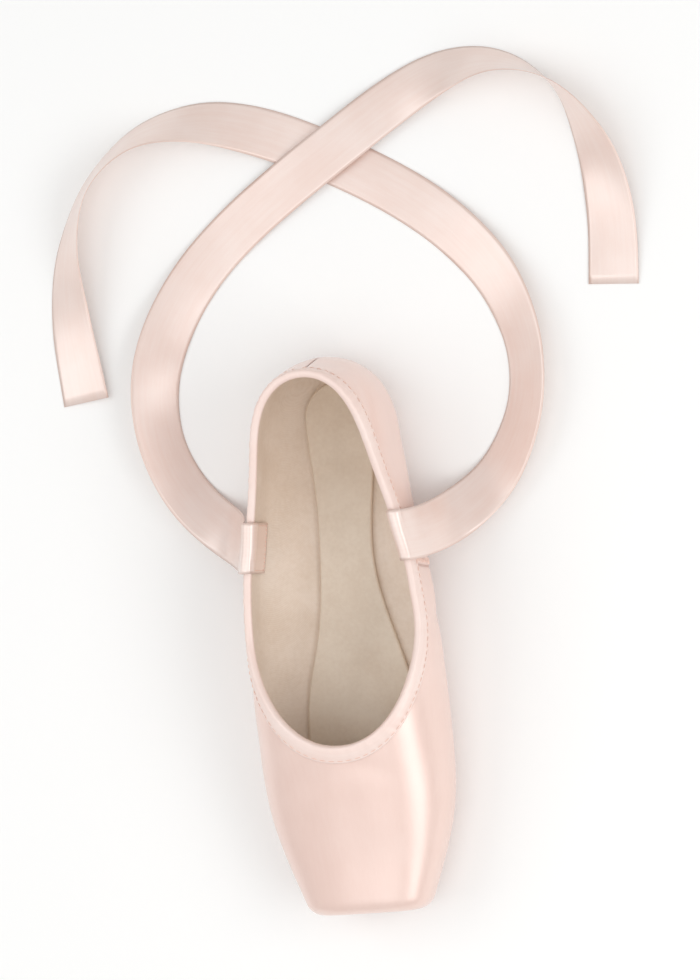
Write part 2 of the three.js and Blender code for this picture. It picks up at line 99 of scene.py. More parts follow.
def travel(points: Array) -> Array:
    """Measures the distance travelled at each point of a line."""
    return np.concatenate([[0], np.cumsum(np.linalg.norm(np.diff(points, axis=0), axis=1))])


class Spline:
    """A natural cubic spline through the rows of a table."""

    def __init__(self, at: Sequence[float], values: Sequence[float]) -> None:
        """Solves for the spline's bends.

        Args:
            at: Where each row lies, rising.
            values: What the spline passes through at each row.
        """
        self.at = np.asarray(at, float)
        self.values = np.asarray(values, float)
        step = np.diff(self.at)
        slope = np.diff(self.values) / step
        system = np.eye(len(self.at))
        known = np.zeros(len(self.at))
        for i in range(1, len(self.at) - 1):
            system[i, i - 1 : i + 2] = (step[i - 1], 2 * (step[i - 1] + step[i]), step[i])
            known[i] = 6 * (slope[i] - slope[i - 1])
        self.bends = np.linalg.solve(system, known)

    def __call__(self, x: Any) -> Array:
        """Reads the spline.

        Args:
            x: Where to read it.

        Returns:
            Its value there, in the shape of x.
        """
        x = np.asarray(x, float)
        i = np.clip(np.searchsorted(self.at, x) - 1, 0, len(self.at) - 2)
        step = self.at[i + 1] - self.at[i]
        b = (x - self.at[i]) / step
        a = 1 - b
        cubic = (a**3 - a) * self.bends[i] + (b**3 - b) * self.bends[i + 1]
        return a * self.values[i] + b * self.values[i + 1] + cubic * step * step / 6


@dataclass(frozen=True)
class Table:
    """A short table with named columns."""

    columns: str
    rows: tuple[tuple[float, ...], ...]

    def column(self, name: str) -> list[float]:
        """Lists one column."""
        return [row[self.columns.split().index(name)] for row in self.rows]

    def spline(self, name: str) -> Spline:
        """Makes the spline of a column along the column named at."""
        return Spline(self.column("at"), self.column(name))


def edge_of(is_before: Callable[[Array], Array], low: Array, high: Array, rounds: int = 34) -> Array:
    """Finds where a test turns from true to false, for many pairs of values at once.

    Args:
        is_before: The test, on an array of values.
        low: Values where it is true.
        high: Values where it is false.
        rounds: How often each gap is halved.

    Returns:
        The values where it turns.
    """
    low, high = np.array(low, float), np.array(high, float)
    for _ in range(rounds):
        middle = (low + high) / 2
        before = is_before(middle)
        low = np.where(before, middle, low)
        high = np.where(before, high, middle)
    return (low + high) / 2


# ------------------------------------ Finishes ------------------------------------
class Sock:
    """A shader value whose Python operators add Math nodes."""

    def __init__(self, shader: "Shader", socket: bpy.types.NodeSocket) -> None:
        """Keeps the socket and the shader that it belongs to."""
        self.shader = shader
        self.socket = socket

    def math(self, operation: str, *others: Any, clamp: bool = False) -> "Sock":
        """Adds one Math node that starts from this value.

        Args:
            operation: The Math node's operation.
            others: Its other inputs, values or sockets.
            clamp: Whether the result is held between 0 and 1.

        Returns:
            The result.
        """
        settings = {"operation": operation, "use_clamp": clamp}
        return self.shader.node("ShaderNodeMath", settings, dict(enumerate((self, *others))))

    def __add__(self, other: Any) -> "Sock":
        """Adds."""
        return self.math("ADD", other)

    __radd__ = __add__

    def __sub__(self, other: Any) -> "Sock":
        """Subtracts."""
        return self.math("SUBTRACT", other)

    def __rsub__(self, other: float) -> "Sock":
        """Subtracts this value from a number."""
        return self.shader.node("ShaderNodeMath", {"operation": "SUBTRACT"}, {0: other, 1: self})

    def __mul__(self, other: Any) -> "Sock":
        """Multiplies."""
        return self.math("MULTIPLY", other)

    __rmul__ = __mul__

    def __truediv__(self, other: Any) -> "Sock":
        """Divides."""
        return self.math("DIVIDE", other)

    def held(self) -> "Sock":
        """Holds the value between 0 and 1."""
        return self.math("ADD", 0.0, clamp=True)

    def ramp(self, start: float, end: float) -> "Sock":
        """Rises smoothly with this value.

        Args:
            start: Where the result is 0.
            end: Where it is 1, which may be the smaller.

        Returns:
            The result.
        """
        flip = end < start
        inputs = {"Value": self, "From Min": min(start, end), "From Max": max(start, end)}
        result = self.shader.node("ShaderNodeMapRange", {"interpolation_type": "SMOOTHSTEP"}, inputs)
        return 1.0 - result if flip else result


class Shader:
    """One material and its node tree."""

    def __init__(self, name: str) -> None:
        """Starts a material that holds a Principled shader.

        Args:
            name: The material's name.
        """
        self.material = bpy.data.materials.new(name)
        self.material.use_nodes = True
        self.tree = self.material.node_tree
        self.surface = self.tree.nodes["Principled BSDF"]

    def node(self, kind: str, settings: dict[str, Any], inputs: dict[Any, Any], output: Any = 0) -> Sock:
        """Adds a node.

        Args:
            kind: The node's type.
            settings: Its settings, which are set first.
            inputs: Values or sockets for its inputs, by name or number.
            output: Which output to return, by name or number.

        Returns:
            The chosen output.
        """
        made = self.tree.nodes.new(kind)
        for key, value in settings.items():
            setattr(made, key, value)
        for key, value in inputs.items():
            self.feed(made.inputs[key], value)
        return Sock(self, made.outputs[output])

    def feed(self, socket: bpy.types.NodeSocket, value: Any) -> None:
        """Links a shader value to a socket, or sets the socket to a plain value.

        Args:
            socket: The socket.
            value: The shader value or plain value.
        """
        if isinstance(value, Sock):
            self.tree.links.new(value.socket, socket)
        else:
            socket.default_value = value

    def set(self, **values: Any) -> None:
        """Sets or links the Principled shader's inputs, named with underscores for spaces."""
        for key, value in values.items():
            self.feed(self.surface.inputs[key.replace("_", " ")], value)

    def mix(self, share: Any, first: Any, second: Any) -> Sock:
        """Mixes two colours, of which the second shows by a share."""
        return self.node("ShaderNodeMix", {"data_type": "RGBA"}, {0: share, 6: first, 7: second}, 2)

    def place(self) -> Sock:
        """Reads the point's own place in the shoe, in metres."""
        return self.node("ShaderNodeTexCoord", {}, {}, "Object")

    def strip(self) -> Sock:
        """Reads the point's place along and across a strip, in metres, from its UV map."""
        return self.node("ShaderNodeUVMap", {"uv_map": "strip"}, {}, "UV")

    def axis(self, vector: Sock, name: str) -> Sock:
        """Takes one axis of a vector."""
        return self.node("ShaderNodeSeparateXYZ", {}, {0: vector}, name)

    def stretch(self, vector: Sock, scale: tuple[float, float, float]) -> Sock:
        """Multiplies a vector by a scale along each axis."""
        return self.node("ShaderNodeVectorMath", {"operation": "MULTIPLY"}, {0: vector, 1: scale})

    def noise(self, vector: Sock, scale: float, detail: float = 3.0, rough: float = 0.5) -> Sock:
        """Adds noise.

        Args:
            vector: Where it is read.
            scale: Cycles a metre.
            detail: How many finer layers it has.
            rough: How strong the finer layers are.

        Returns:
            The noise, about 0.5 on average.
        """
        inputs = {"Vector": vector, "Scale": scale, "Detail": detail, "Roughness": rough}
        return self.node("ShaderNodeTexNoise", {}, inputs)

    def attribute(self, name: str) -> Sock:
        """Reads a number kept at the mesh's points."""
        settings = {"attribute_type": "GEOMETRY", "attribute_name": name}
        return self.node("ShaderNodeAttribute", settings, {}, "Fac")

    def bump(self, height: Sock, depth: float, strength: float) -> Sock:
        """Makes a bumped normal from a height of 0 to 1 and a depth in metres."""
        inputs = {"Height": height, "Distance": depth, "Strength": strength}
        return self.node("ShaderNodeBump", {}, inputs, "Normal")


class Warp(Enum):
    """Which way the long threads of a satin run, as the stretch of its texture."""

    TOE_TO_HEEL = (0.07, 1.0, 1.0)
    ALONG_STRIP = (0.05, 1.0, 1.0)


@dataclass(frozen=True)
class Satin:
    """Satin: a smooth face of long threads, glossy, with a strong white reflection."""

    name: str
    base: Colour
    deep: Colour
    warp: Warp
    roughness: float = 0.36
    metallic: float = 0.15
    gloss: float = 0.8
    gloss_roughness: float = 0.27
    gloss_index: float = 1.6
    index: float = 2.2
    thread: float = 0.00028
    relief: float = 0.00006
    # has_crease_shade turns on painted shade in the creases; crease is the dark colour of that painted shade.
    has_crease_shade: bool = False
    crease: Colour = shade(158, 98, 74)
    has_selvedge: bool = False
    selvedge: Colour = shade(214, 176, 158)
    selvedge_start: float = 0.0099
    selvedge_full: float = 0.0104

    def build(self) -> Material:
        """Builds the material.

        Returns:
            The material.
        """
        shader = Shader(self.name)
        place = shader.place() if self.warp is Warp.TOE_TO_HEEL else shader.strip()
        threads = shader.stretch(place, self.warp.value)
        fine = shader.noise(threads, 1 / self.thread, 2.0, 0.6)
        slub = shader.noise(threads, 0.16 / self.thread, 3.0, 0.55)
        cloud = shader.noise(place, 38.0)
        tone = (cloud * 0.55 + slub * 0.3 + fine * 0.15).ramp(0.3, 0.72)
        colour = shader.mix(tone, self.deep, self.base)
        height = fine * 0.5 + slub * 0.5
        rough = self.roughness + (slub - 0.5) * 0.1 + (cloud - 0.5) * 0.08
        coat: Any = self.gloss
        # Painted shade: the creases of the pleats and seams get a darker colour and less coat gloss, standing
        # in for the shade that falls in them.
        if self.has_crease_shade:
            crease = shader.attribute("crease").held()
            colour = shader.mix((crease * 1.25).held(), colour, self.crease)
            rough = rough + crease * 0.2
            coat = self.gloss * (1.0 - crease)
        if self.has_selvedge:
            across = shader.axis(place, "Y").math("ABSOLUTE")
            edge = across.ramp(self.selvedge_start, self.selvedge_full)
            colour = shader.mix(edge * 0.35, colour, self.selvedge)
            rough = rough + edge * 0.15
            height = height + edge * 0.8
        shader.set(
            Base_Color=colour,
            Roughness=rough,
            Metallic=self.metallic,
            Normal=shader.bump(height, self.relief, 0.55),
            Coat_Weight=coat,
            Coat_Roughness=self.gloss_roughness,
            Coat_IOR=self.gloss_index,
            IOR=self.index,
        )
        return shader.material


@dataclass(frozen=True)
class PlainCloth:
    """Plain-woven cotton, for the lining and insole."""

    name: str
    base: Colour
    deep: Colour
    thread: float = 0.0007
    depth: float = 0.00012

    def build(self) -> Material:
        """Builds the material.

        Returns:
            The material.
        """
        shader = Shader(self.name)
        place = shader.place()
        x, y, z = (shader.axis(place, name) for name in "XYZ")
        turn = 2 * math.pi / self.thread
        weave = ((x * turn).math("SINE") * ((y + z) * turn).math("SINE")) * 0.5 + 0.5
        slub = shader.noise(place, 0.4 / self.thread)
        cloud = shader.noise(place, 45.0, 4.0, 0.55)
        tone = (cloud * 0.6 + slub * 0.25 + weave * 0.15).ramp(0.3, 0.7)
        shader.set(
            Base_Color=shader.mix(tone, self.deep, self.base),
            Roughness=0.86 + (slub - 0.5) * 0.1,
            Normal=shader.bump(weave * 0.6 + slub * 0.4, self.depth, 0.6),
            Sheen_Weight=0.12,
            Sheen_Roughness=0.6,
            Specular_IOR_Level=0.3,
        )
        return shader.material


@dataclass(frozen=True)
class SoleLeather:
    """Cream split leather with a dark raw edge, its colour partly painted shade, and a scored forefoot."""

    name: str
    base: Colour = shade(246, 228, 208)
    deep: Colour = shade(235, 212, 188)
    heel: Colour = shade(238, 219, 200)
    # edge: the raw edge's dark brown, partly the leather's own colour and partly painted shade.
    edge: Colour = shade(168, 100, 66)
    score: Colour = shade(190, 138, 92)
    score_gap: float = 0.0062
    score_width: float = 0.00055
    score_wobble: float = 0.0008
    relief: float = 0.0003

    def build(self) -> Material:
        """Builds the material.

        Returns:
            The material.
        """
        shader = Shader(self.name)
        place = shader.place()
        x, y = shader.axis(place, "X"), shader.axis(place, "Y")
        grain = shader.noise(place, 1600.0, 4.0, 0.6)
        cloud = shader.noise(place, 60.0, 4.0, 0.6)
        colour = shader.mix((cloud * 0.7 + grain * 0.3).ramp(0.3, 0.7), self.deep, self.base)
        colour = shader.mix(shader.attribute("heel") * 0.6, colour, self.heel)
        wobble = (cloud - 0.5) * self.score_wobble
        scored = self.hatch(x + y + wobble).math("MAXIMUM", self.hatch(x - y + wobble))
        scored = scored * shader.attribute("tread")
        worn = shader.noise(place, 240.0).ramp(0.3, 0.6)
        colour = shader.mix(scored * worn * 0.75, colour, self.score)
        # The dark edge colour, partly the leather's own and partly painted shade, on the edge and at half
        # strength on the bottom's rim.
        dark_edge_and_shade = shader.attribute("edge").held()
        shader.set(
            Base_Color=shader.mix(dark_edge_and_shade, colour, self.edge),
            Roughness=0.62 + (grain - 0.5) * 0.15 - dark_edge_and_shade * 0.15,
            Normal=shader.bump(grain * 0.25 - scored * 0.75, self.relief, 0.7),
            Specular_IOR_Level=0.4,
        )
        return shader.material

    def hatch(self, way: Sock) -> Sock:
        """Draws evenly spaced scores across a distance in metres: 1 on a score and 0 between."""
        off_centre = ((way / self.score_gap).math("FRACT") - 0.5).math("ABSOLUTE") * self.score_gap
        return off_centre.ramp(self.score_width * 1.4, self.score_width * 0.6)


@dataclass(frozen=True)
class SewingThread:
    """Twisted sewing thread."""

    name: str
    base: Colour
    glint: Colour = shade(255, 246, 240)

    def build(self) -> Material:
        """Builds the material.

        Returns:
            The material.
        """
        shader = Shader(self.name)
        twist = shader.noise(shader.place(), 5200.0, 2.0)
        shader.set(
            Base_Color=shader.mix(twist, self.base, shader.mix(0.25, self.base, self.glint)),
            Roughness=0.55 + (twist - 0.5) * 0.2,
            Normal=shader.bump(twist, 0.00008, 0.5),
            Sheen_Weight=0.2,
        )
        return shader.material


@dataclass(frozen=True)
class Floor:
    """The pale studio floor."""

    name: str = "studio_floor"
    base: Colour = shade(253, 253, 252)

    def build(self) -> Material:
        """Builds the material.

        Returns:
            The material.
        """
        shader = Shader(self.name)
        shader.set(Base_Color=self.base, Roughness=0.75, Specular_IOR_Level=0.2)
        return shader.material


# ------------------------------------ Mesh building ------------------------------------
@dataclass
class MeshMaker:
    """Turns shapes in millimetres from the heel back into pieces in the frame."""

    heel_x: float

    def to_frame(self, points: Array) -> Array:
        """Turns millimetres from the heel back into metres in the frame."""
        return points * MM + np.array([self.heel_x, 0.0, 0.0])

    def piece(
        self,
        name: str,
        points: Array,
        faces: Sequence[Face],
        material: Material,
        slot: str,
        node: str = "",
        attributes: Optional[dict[str, Array]] = None,
        strip: Optional[Array] = None,
    ) -> bpy.types.Object:
        """Makes one piece that rides with the shoe.

        Args:
            name: The piece's name.
            points: Its points, in millimetres from the heel back.
            faces: Point numbers of each face.
            material: Its material.
            slot: Not used; the record's material slot that it belongs to.
            node: The node that it stands for, if any.
            attributes: Numbers kept at the points, by name.
            strip: Each point's place along and across a strip, in millimetres, for the UV map.

        Returns:
            The piece.
        """
        mesh = bpy.data.meshes.new(name)
        mesh.from_pydata(self.to_frame(points).tolist(), [], [list(map(int, f)) for f in faces])
        mesh.validate()
        for key, values in (attributes or {}).items():
            layer = mesh.attributes.new(key, "FLOAT", "POINT")
            layer.data.foreach_set("value", np.asarray(values, np.float32).ravel())
        if strip is not None:
            corners = np.empty(len(mesh.loops), np.int32)
            mesh.loops.foreach_get("vertex_index", corners)
            layer = mesh.uv_layers.new(name="strip")
            layer.data.foreach_set("uv", (strip[corners] * MM).astype(np.float32).ravel())
        mesh.polygons.foreach_set("use_smooth", [True] * len(mesh.polygons))
        mesh.materials.append(material)
        made = bpy.data.objects.new(name, mesh)
        bpy.context.scene.collection.objects.link(made)
        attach(made, BODY)
        if node:
            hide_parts(node)
        LOG.info("%s: %d points, %d faces", name, len(points), len(faces))
        return made


def band_faces(rings: int, size: int, wraps: bool, start: int = 0, flip: bool = False) -> list[Face]:
    """Joins rings of points into four-sided faces.

    Args:
        rings: How many rings there are.
        size: Points in each ring, which closes on itself.
        wraps: Whether the last ring joins the first.
        start: The number of the first point.
        flip: Whether the faces are turned over.

    Returns:
        The faces.
    """
    faces: list[Face] = []
    for ring in range(rings if wraps else rings - 1):
        base, after = start + ring * size, start + ((ring + 1) % rings) * size
        for i in range(size):
            j = (i + 1) % size
            face = (base + i, base + j, after + j, after + i)
            faces.append(face[::-1] if flip else face)
    return faces


# ------------------------------------ The last ------------------------------------
@dataclass
class Section:
    """Cross-sections of the last, one for each point asked about."""

    half: Array
    floor: Array
    girth: Array
    crown: Array
    drop: Array
    low: Array
    high: Array
    is_real: Array


@dataclass
class Last:
    """The closed form that the upper is shaped on, in millimetres from the heel back.

    Its sections lie at shares of the length. Their half and flat are shares of half the ball width,
    their girth and crown are shares of the instep, and low and high are the roundness below and
    above the girth. The quarter's height is a share of the heel height.
    """

    length: float
    ball_width: float = 83.5
    instep: float = 50.0
    heel_height: float = 61.5
    floor_gap: float = 0.3
    sole_thickness: float = 2.6
    insole_thickness: float = 2.4
    quarter_wall: float = 1.9
    box_wall: float = 3.0
    box_wall_start: float = 150.0
    box_wall_full: float = 200.0
    platform_edge: float = 5.0
    heel_round: float = 42.0
    lean_length: float = 96.0
    arch_start: float = 46.0
    arch_end: float = 130.0
    arch_rise: float = 5.5
    spring_start: float = 172.0
    spring: float = 3.4
    throat_point: float = 168.0
    throat_start: float = 103.0
    throat_blend: float = 34.0
    throat_width: float = 80.0
    throat_roundness: float = 2.1
    sole_start: float = 9.0
    sole_end: float = 205.0
    sole_heel_round: float = 17.0
    sole_toe_round: float = 30.0
    sole_toe_power: float = 2.2
    opening_inset: float = 7.0
    spine_start: float = 45.0
    spine_end: float = 150.0
    spine_height: float = 24.0
    sections: Table = Table("at half flat girth crown low high", (
        (0.0, 0.69, 0.42, 0.42, 1.66, 2.1, 2.05), (0.11, 0.72, 0.42, 0.43, 1.64, 2.1, 2.05),
        (0.25, 0.81, 0.37, 0.46, 1.56, 2.1, 2.15), (0.4, 0.94, 0.36, 0.48, 1.42, 2.1, 2.4),
        (0.55, 1.0, 0.56, 0.46, 1.2, 2.2, 2.45), (0.69, 1.01, 0.67, 0.4, 1.01, 2.3, 2.4),
        (0.83, 0.95, 0.62, 0.37, 0.84, 2.4, 2.4), (0.92, 0.795, 0.44, 0.36, 0.745, 2.5, 2.6),
        (1.0, 0.62, 0.3, 0.37, 0.68, 2.6, 2.8),
    ))
    heel: Table = Table("at back", (
        (2.9, 9.0), (8.0, 3.6), (15.0, 0.7), (22.0, 0.0), (35.0, 1.6), (50.0, 5.6), (62.0, 9.4), (95.0, 20.0),
    ))
    quarter: Table = Table("at height", (
        (0.0, 1.0), (16.0, 0.985), (42.0, 0.885), (74.0, 0.755), (100.0, 0.715), (130.0, 0.75),
    ))
    sole: Table = Table("at half", (
        (9.0, 16.0), (28.0, 16.4), (60.0, 14.2), (90.0, 13.6), (120.0, 18.6), (148.0, 25.4),
        (168.0, 26.4), (190.0, 25.0), (205.0, 23.0),
    ))

    def __post_init__(self) -> None:
        """Makes the splines of the tables."""
        self.shape = {name: self.sections.spline(name) for name in self.sections.columns.split()[1:]}
        self.heel_back = self.heel.spline("back")
        self.quarter_top = self.quarter.spline("height")
        self.sole_width = self.sole.spline("half")

    def underside(self, x: Any) -> Array:
        """Works out the height of the level underside of the upper.

        Args:
            x: Distances from the heel back.

        Returns:
            The heights.
        """
        arch = np.clip((x - self.arch_start) / (self.arch_end - self.arch_start), 0, 1)
        spring = np.clip((x - self.spring_start) / (self.length - self.spring_start), 0, None)
        lift = self.arch_rise * np.sin(np.pi * arch) ** 2 + self.spring * spring**2
        return self.sole_thickness + self.floor_gap + lift

    def section(self, x: Array, z: Any) -> Section:
        """Works out the cross-sections, with the heel and the platform's edge rounded in.

        Args:
            x: Distances from the heel back.
            z: Heights, which set how far the heel leans in.

        Returns:
            The cross-sections.
        """
        fade = np.clip(1 - x / self.lean_length, 0, 1) ** 2
        along = x - self.heel_back(z) * fade
        start = np.clip(along / self.heel_round, 0, 1)
        closing = np.sqrt(1 - (1 - start) ** 3)
        over = np.clip(x - (self.length - self.platform_edge), 0, self.platform_edge)
        inset = self.platform_edge - np.sqrt(self.platform_edge**2 - over**2)
        share = along / self.length
        full = self.shape["half"](share) * self.ball_width / 2
        flat = self.shape["flat"](share) * self.ball_width / 2
        low = self.shape["low"](share)
        girth = self.shape["girth"](share) * self.instep
        floor = self.underside(x) + inset
        return Section(
            half=np.maximum(full * closing - inset, 1e-6),
            floor=floor,
            girth=girth,
            crown=self.shape["crown"](share) * self.instep - inset,
            drop=(girth - floor) / (1 - (flat / full) ** low) ** (1 / low),
            low=low,
            high=self.shape["high"](share),
            is_real=(along > 0) & (x < self.length),
        )

    def inside(self, points: Array) -> Array:
        """Tells which points lie inside the last.

        Args:
            points: The points.

        Returns:
            True for each point inside.
        """
        x, y, z = points[..., 0], points[..., 1], points[..., 2]
        section = self.section(x, z)
        is_low = z < section.girth
        power = np.where(is_low, section.low, section.high)
        reach = np.where(is_low, section.drop, section.crown - section.girth)
        across = np.abs(y) / section.half
        up = np.abs(z - section.girth) / reach
        return (across**power + up**power < 1) & section.is_real & (z > section.floor)

    def collar(self, x: Array) -> Array:
        """Height at which the collar and throat cut the last.

        Args:
            x: Distances from the heel back.

        Returns:
            The heights, without limit past the throat's point.
        """
        along = np.clip((x - self.throat_start) / (self.throat_point - self.throat_start), 0, 1)
        power = self.throat_roundness
        aside = self.throat_width / 2 * (1 - along**power) ** (1 / power)
        section = self.section(np.minimum(x, self.throat_point), self.instep)
        share = np.clip(aside / section.half, 0, 1)
        up = (1 - share**section.high) ** (1 / section.high)
        oval = section.girth + (section.crown - section.girth) * up
        throat = rise(x, self.throat_start, self.throat_blend)
        height = self.quarter_top(x) * self.heel_height * (1 - throat) + oval * throat
        return np.where(x >= self.throat_point, np.inf, height)

    def sole_half(self, x: Any, inset: float = 0.0) -> Array:
        """Half-width of the outsole's outline.

        Args:
            x: Distances from the heel back.
            inset: How far in the outline is drawn.

        Returns:
            The half-widths.
        """
        power = self.sole_toe_power
        heel = np.clip((x - self.sole_start - inset) / (self.sole_heel_round - inset), 0, 1)
        toe = np.clip((self.sole_end - inset - x) / (self.sole_toe_round - inset), 0, 1)
        closing = np.sqrt(1 - (1 - heel) ** 2) * (1 - (1 - toe) ** power) ** (1 / power)
        return np.maximum(0, (self.sole_width(x) - inset) * closing)

    def wall(self, x: Any) -> Array:
        """Thickness of the upper's wall, by the distance from the heel back."""
        share = rise(x, self.box_wall_start, self.box_wall_full - self.box_wall_start)
        return self.quarter_wall + (self.box_wall - self.quarter_wall) * share

    def cast(self, starts: Array, headings: Array, angles: Array) -> Array:
        """Finds the surface points seen from starts.

        Args:
            starts: Points inside the last.
            headings: Level directions.
            angles: Angles above the level, in radians.

        Returns:
            The surface points.
        """
        rays = headings * np.cos(angles)[..., None]
        rays[..., 2] = np.sin(angles)
        near, far = np.zeros(angles.shape), np.full(angles.shape, self.length)
        reach = edge_of(lambda d: self.inside(starts + rays * d[..., None]), near, far)
        return starts + rays * reach[..., None]


@dataclass
class Skin:
    """The last's surface between its openings: columns round the shoe, rows from sole to collar."""

    last: Last
    half_columns: int = 226
    rows: int = 84
    turn_weight: float = 9.0
    toe_density: float = 3.0
    toe_start: float = 186.0
    toe_blend: float = 18.0
    seam_density: float = 4.0
    seam_at: float = 93.5
    seam_spread: float = 3.5
    back_spread: float = 3.0
    steepest: float = 1.5
    rough_steps: int = 90
    fine_steps: int = 170

    def __post_init__(self) -> None:
        """Casts the grid, mirrors it and works out its normals and distances."""
        left = self.cast_rows(*self.columns())
        right = left[1:-1][::-1] * np.array([1.0, -1.0, 1.0])
        self.points = np.concatenate([left, right])
        around = np.roll(self.points, -1, 0) - np.roll(self.points, 1, 0)
        up = np.gradient(self.points, axis=1)
        self.normals = unit(np.cross(up, around))
        steps = np.linalg.norm(np.diff(self.points, axis=1), axis=-1)
        self.from_sole = np.concatenate([np.zeros((len(steps), 1)), np.cumsum(steps, 1)], 1)
        self.to_collar = self.from_sole[:, -1:] - self.from_sole

    def outline(self) -> Array:
        """Traces half of the widest outline, from the heel back to the middle of the platform.

        Returns:
            The outline's points, seen from above.
        """
        last = self.last
        heel = last.heel_round * np.linspace(0, 1, 160)[1:] ** 2
        middle = np.arange(last.heel_round + 0.5, last.length - last.platform_edge, 0.5)
        turn = np.linspace(0, math.pi / 2, 24, endpoint=False)
        edge = last.length - last.platform_edge * (1 - np.sin(turn))
        x = np.concatenate([heel, middle, edge])
        height = np.where(x <= last.heel_round, last.shape["girth"](0.1) * last.instep, last.spine_height)
        y = last.section(x, height).half
        face = np.linspace(1, 0, 61)[1:] * y[-1]
        x = np.concatenate([[0.0], x, np.full(len(face), last.length)])
        return np.stack([x, np.concatenate([[0.0], y, face])], 1)

    def columns(self) -> tuple[Array, Array]:
        """Spreads the columns over the outline, closer at the toe and at the seams.

        Returns:
            Each column's start on the spine and its level heading.
        """
        last = self.last
        line = self.outline()
        way = np.diff(line, axis=0)
        length = np.linalg.norm(way, axis=1)
        turn = np.abs(np.diff(np.unwrap(np.arctan2(way[:, 1], way[:, 0])), append=np.nan))
        turn[-1] = 0.0
        middle = (line[1:, 0] + line[:-1, 0]) / 2
        density = 1 + self.toe_density * rise(middle, self.toe_start, self.toe_blend)
        density += self.seam_density * bell((middle - self.seam_at) / self.seam_spread)
        density += self.seam_density * bell(np.cumsum(length) / self.back_spread)
        weight = np.concatenate([[0], np.cumsum((length + self.turn_weight * turn) * density)])
        index = np.arange(len(line))
        places = np.interp(np.linspace(0, weight[-1], self.half_columns + 1), weight, index)
        x, y = (np.interp(places, index, line[:, i]) for i in (0, 1))
        spine = np.clip(x, last.spine_start, last.spine_end)
        starts = np.stack([spine, 0 * spine, 0 * spine + last.spine_height], 1)
        return starts, unit(np.stack([x - spine, y, 0 * spine], 1))

    def cast_rows(self, starts: Array, headings: Array) -> Array:
        """Casts each column's rows, from the edge of the sole opening up to the collar.

        Args:
            starts: Each column's start on the spine.
            headings: Each column's level heading.

        Returns:
            The grid of points.
        """
        last, count = self.last, len(starts)

        def is_open(away: Array) -> Array:
            """Tells where the way out is still over the sole opening."""
            plan = starts + headings * away[:, None]
            return np.abs(plan[:, 1]) < last.sole_half(plan[:, 0], last.opening_inset)

        def is_below(angles: Array) -> Array:
            """Tells which angles meet the last below the collar."""
            found = last.cast(starts, headings, angles)
            return found[:, 2] < last.collar(found[:, 0])

        def cast_grid(angles: Array) -> Array:
            """Casts a row of angles for each column."""
            return last.cast(starts[:, None], np.repeat(headings[:, None], angles.shape[1], 1), angles)

        away = edge_of(is_open, np.zeros(count), np.full(count, last.length))
        low_x = (starts + headings * away[:, None])[:, 0]
        first = np.arctan2(last.underside(low_x) - last.spine_height, away)

        scan = np.linspace(0, 1, self.rough_steps)[1:]
        angles = first[:, None] + (self.steepest - first[:, None]) * scan
        seen = cast_grid(angles)
        index = np.argmax(seen[..., 2] >= last.collar(seen[..., 0]), axis=1)
        every = np.arange(count)
        low = np.where(index > 0, angles[every, np.maximum(index - 1, 0)], first)
        final = edge_of(is_below, low, angles[every, index], 22)

        angles = first[:, None] + (final - first)[:, None] * np.linspace(0, 1, self.fine_steps)
        way = np.diff(cast_grid(angles), axis=1)
        length = np.linalg.norm(way, axis=-1)
        straight = np.clip(np.sum(unit(way)[:, 1:] * unit(way)[:, :-1], -1), -1, 1)
        turn = np.concatenate([np.arccos(straight), np.zeros((count, 1))], 1)
        weight = np.cumsum(length + self.turn_weight * turn, axis=1)
        weight = np.concatenate([np.zeros((count, 1)), weight], 1)
        wanted = np.linspace(0, 1, self.rows + 1)
        return cast_grid(np.array([np.interp(wanted * w[-1], w, a) for w, a in zip(weight, angles)]))

    def below_collar(self, distance: float) -> tuple[Array, Array]:
        """Finds the points and normals at a distance down from the collar's edge.

        Args:
            distance: How far down, along the surface.

        Returns:
            One point and one normal for each column.
        """
        points, normals = [], []
        for line, normal, down in zip(self.points, self.normals, self.to_collar):
            place = np.interp(-distance, -down, np.arange(len(down)))
            i = min(int(place), len(down) - 2)
            share = place - i
            points.append(line[i] * (1 - share) + line[i + 1] * share)
            normals.append(normal[i] * (1 - share) + normal[i + 1] * share)
        return np.array(points), unit(np.array(normals))


# ------------------------------------ Stitches ------------------------------------
@dataclass
class Stitches:
    """Many short stitches made as one mesh. The shape lists a thickness at shares of a stitch."""

    radius: float = 0.2
    sides: int = 6
    arch: float = 0.5
    sink: float = 0.2
    shape: Sequence[tuple[float, float]] = ((0.0, 0.35), (0.12, 0.85), (0.5, 1.0), (0.88, 0.85), (1.0, 0.35))
    ends: list[tuple[Array, Array, Array]] = field(default_factory=list)

    def add(self, start: Array, end: Array, normal: Array) -> None:
        """Adds a stitch from one point of a surface to another."""
        self.ends.append((np.asarray(start), np.asarray(end), np.asarray(normal)))

    def build(self, maker: MeshMaker, name: str, slot: str, material: Material) -> None:
        """Builds the joined mesh.

        Args:
            maker: The mesh maker.
            name: The piece's name.
            slot: The record's material slot that it belongs to.
            material: Its material.
        """
        points: list[Array] = []
        faces: list[Face] = []
        turns = np.arange(self.sides) * 2 * math.pi / self.sides
        for start, end, normal in self.ends:
            way = unit(end - start)
            out = unit(normal - way * np.dot(normal, way))
            aside = np.cross(way, out)
            first = len(points) * self.sides
            for share, thick in self.shape:
                lift = self.radius * (self.arch * math.sin(math.pi * share) * 2 - self.sink)
                centre = start + (end - start) * share + out * lift
                ring = np.outer(np.cos(turns), out) + np.outer(np.sin(turns), aside)
                points.append(centre + ring * self.radius * thick)
            faces += band_faces(len(self.shape), self.sides, False, first, flip=True)
            last = first + (len(self.shape) - 1) * self.sides
            faces.append(tuple(range(first, first + self.sides)))
            faces.append(tuple(range(last + self.sides - 1, last - 1, -1)))
        maker.piece(name, np.concatenate(points), faces, material, slot)


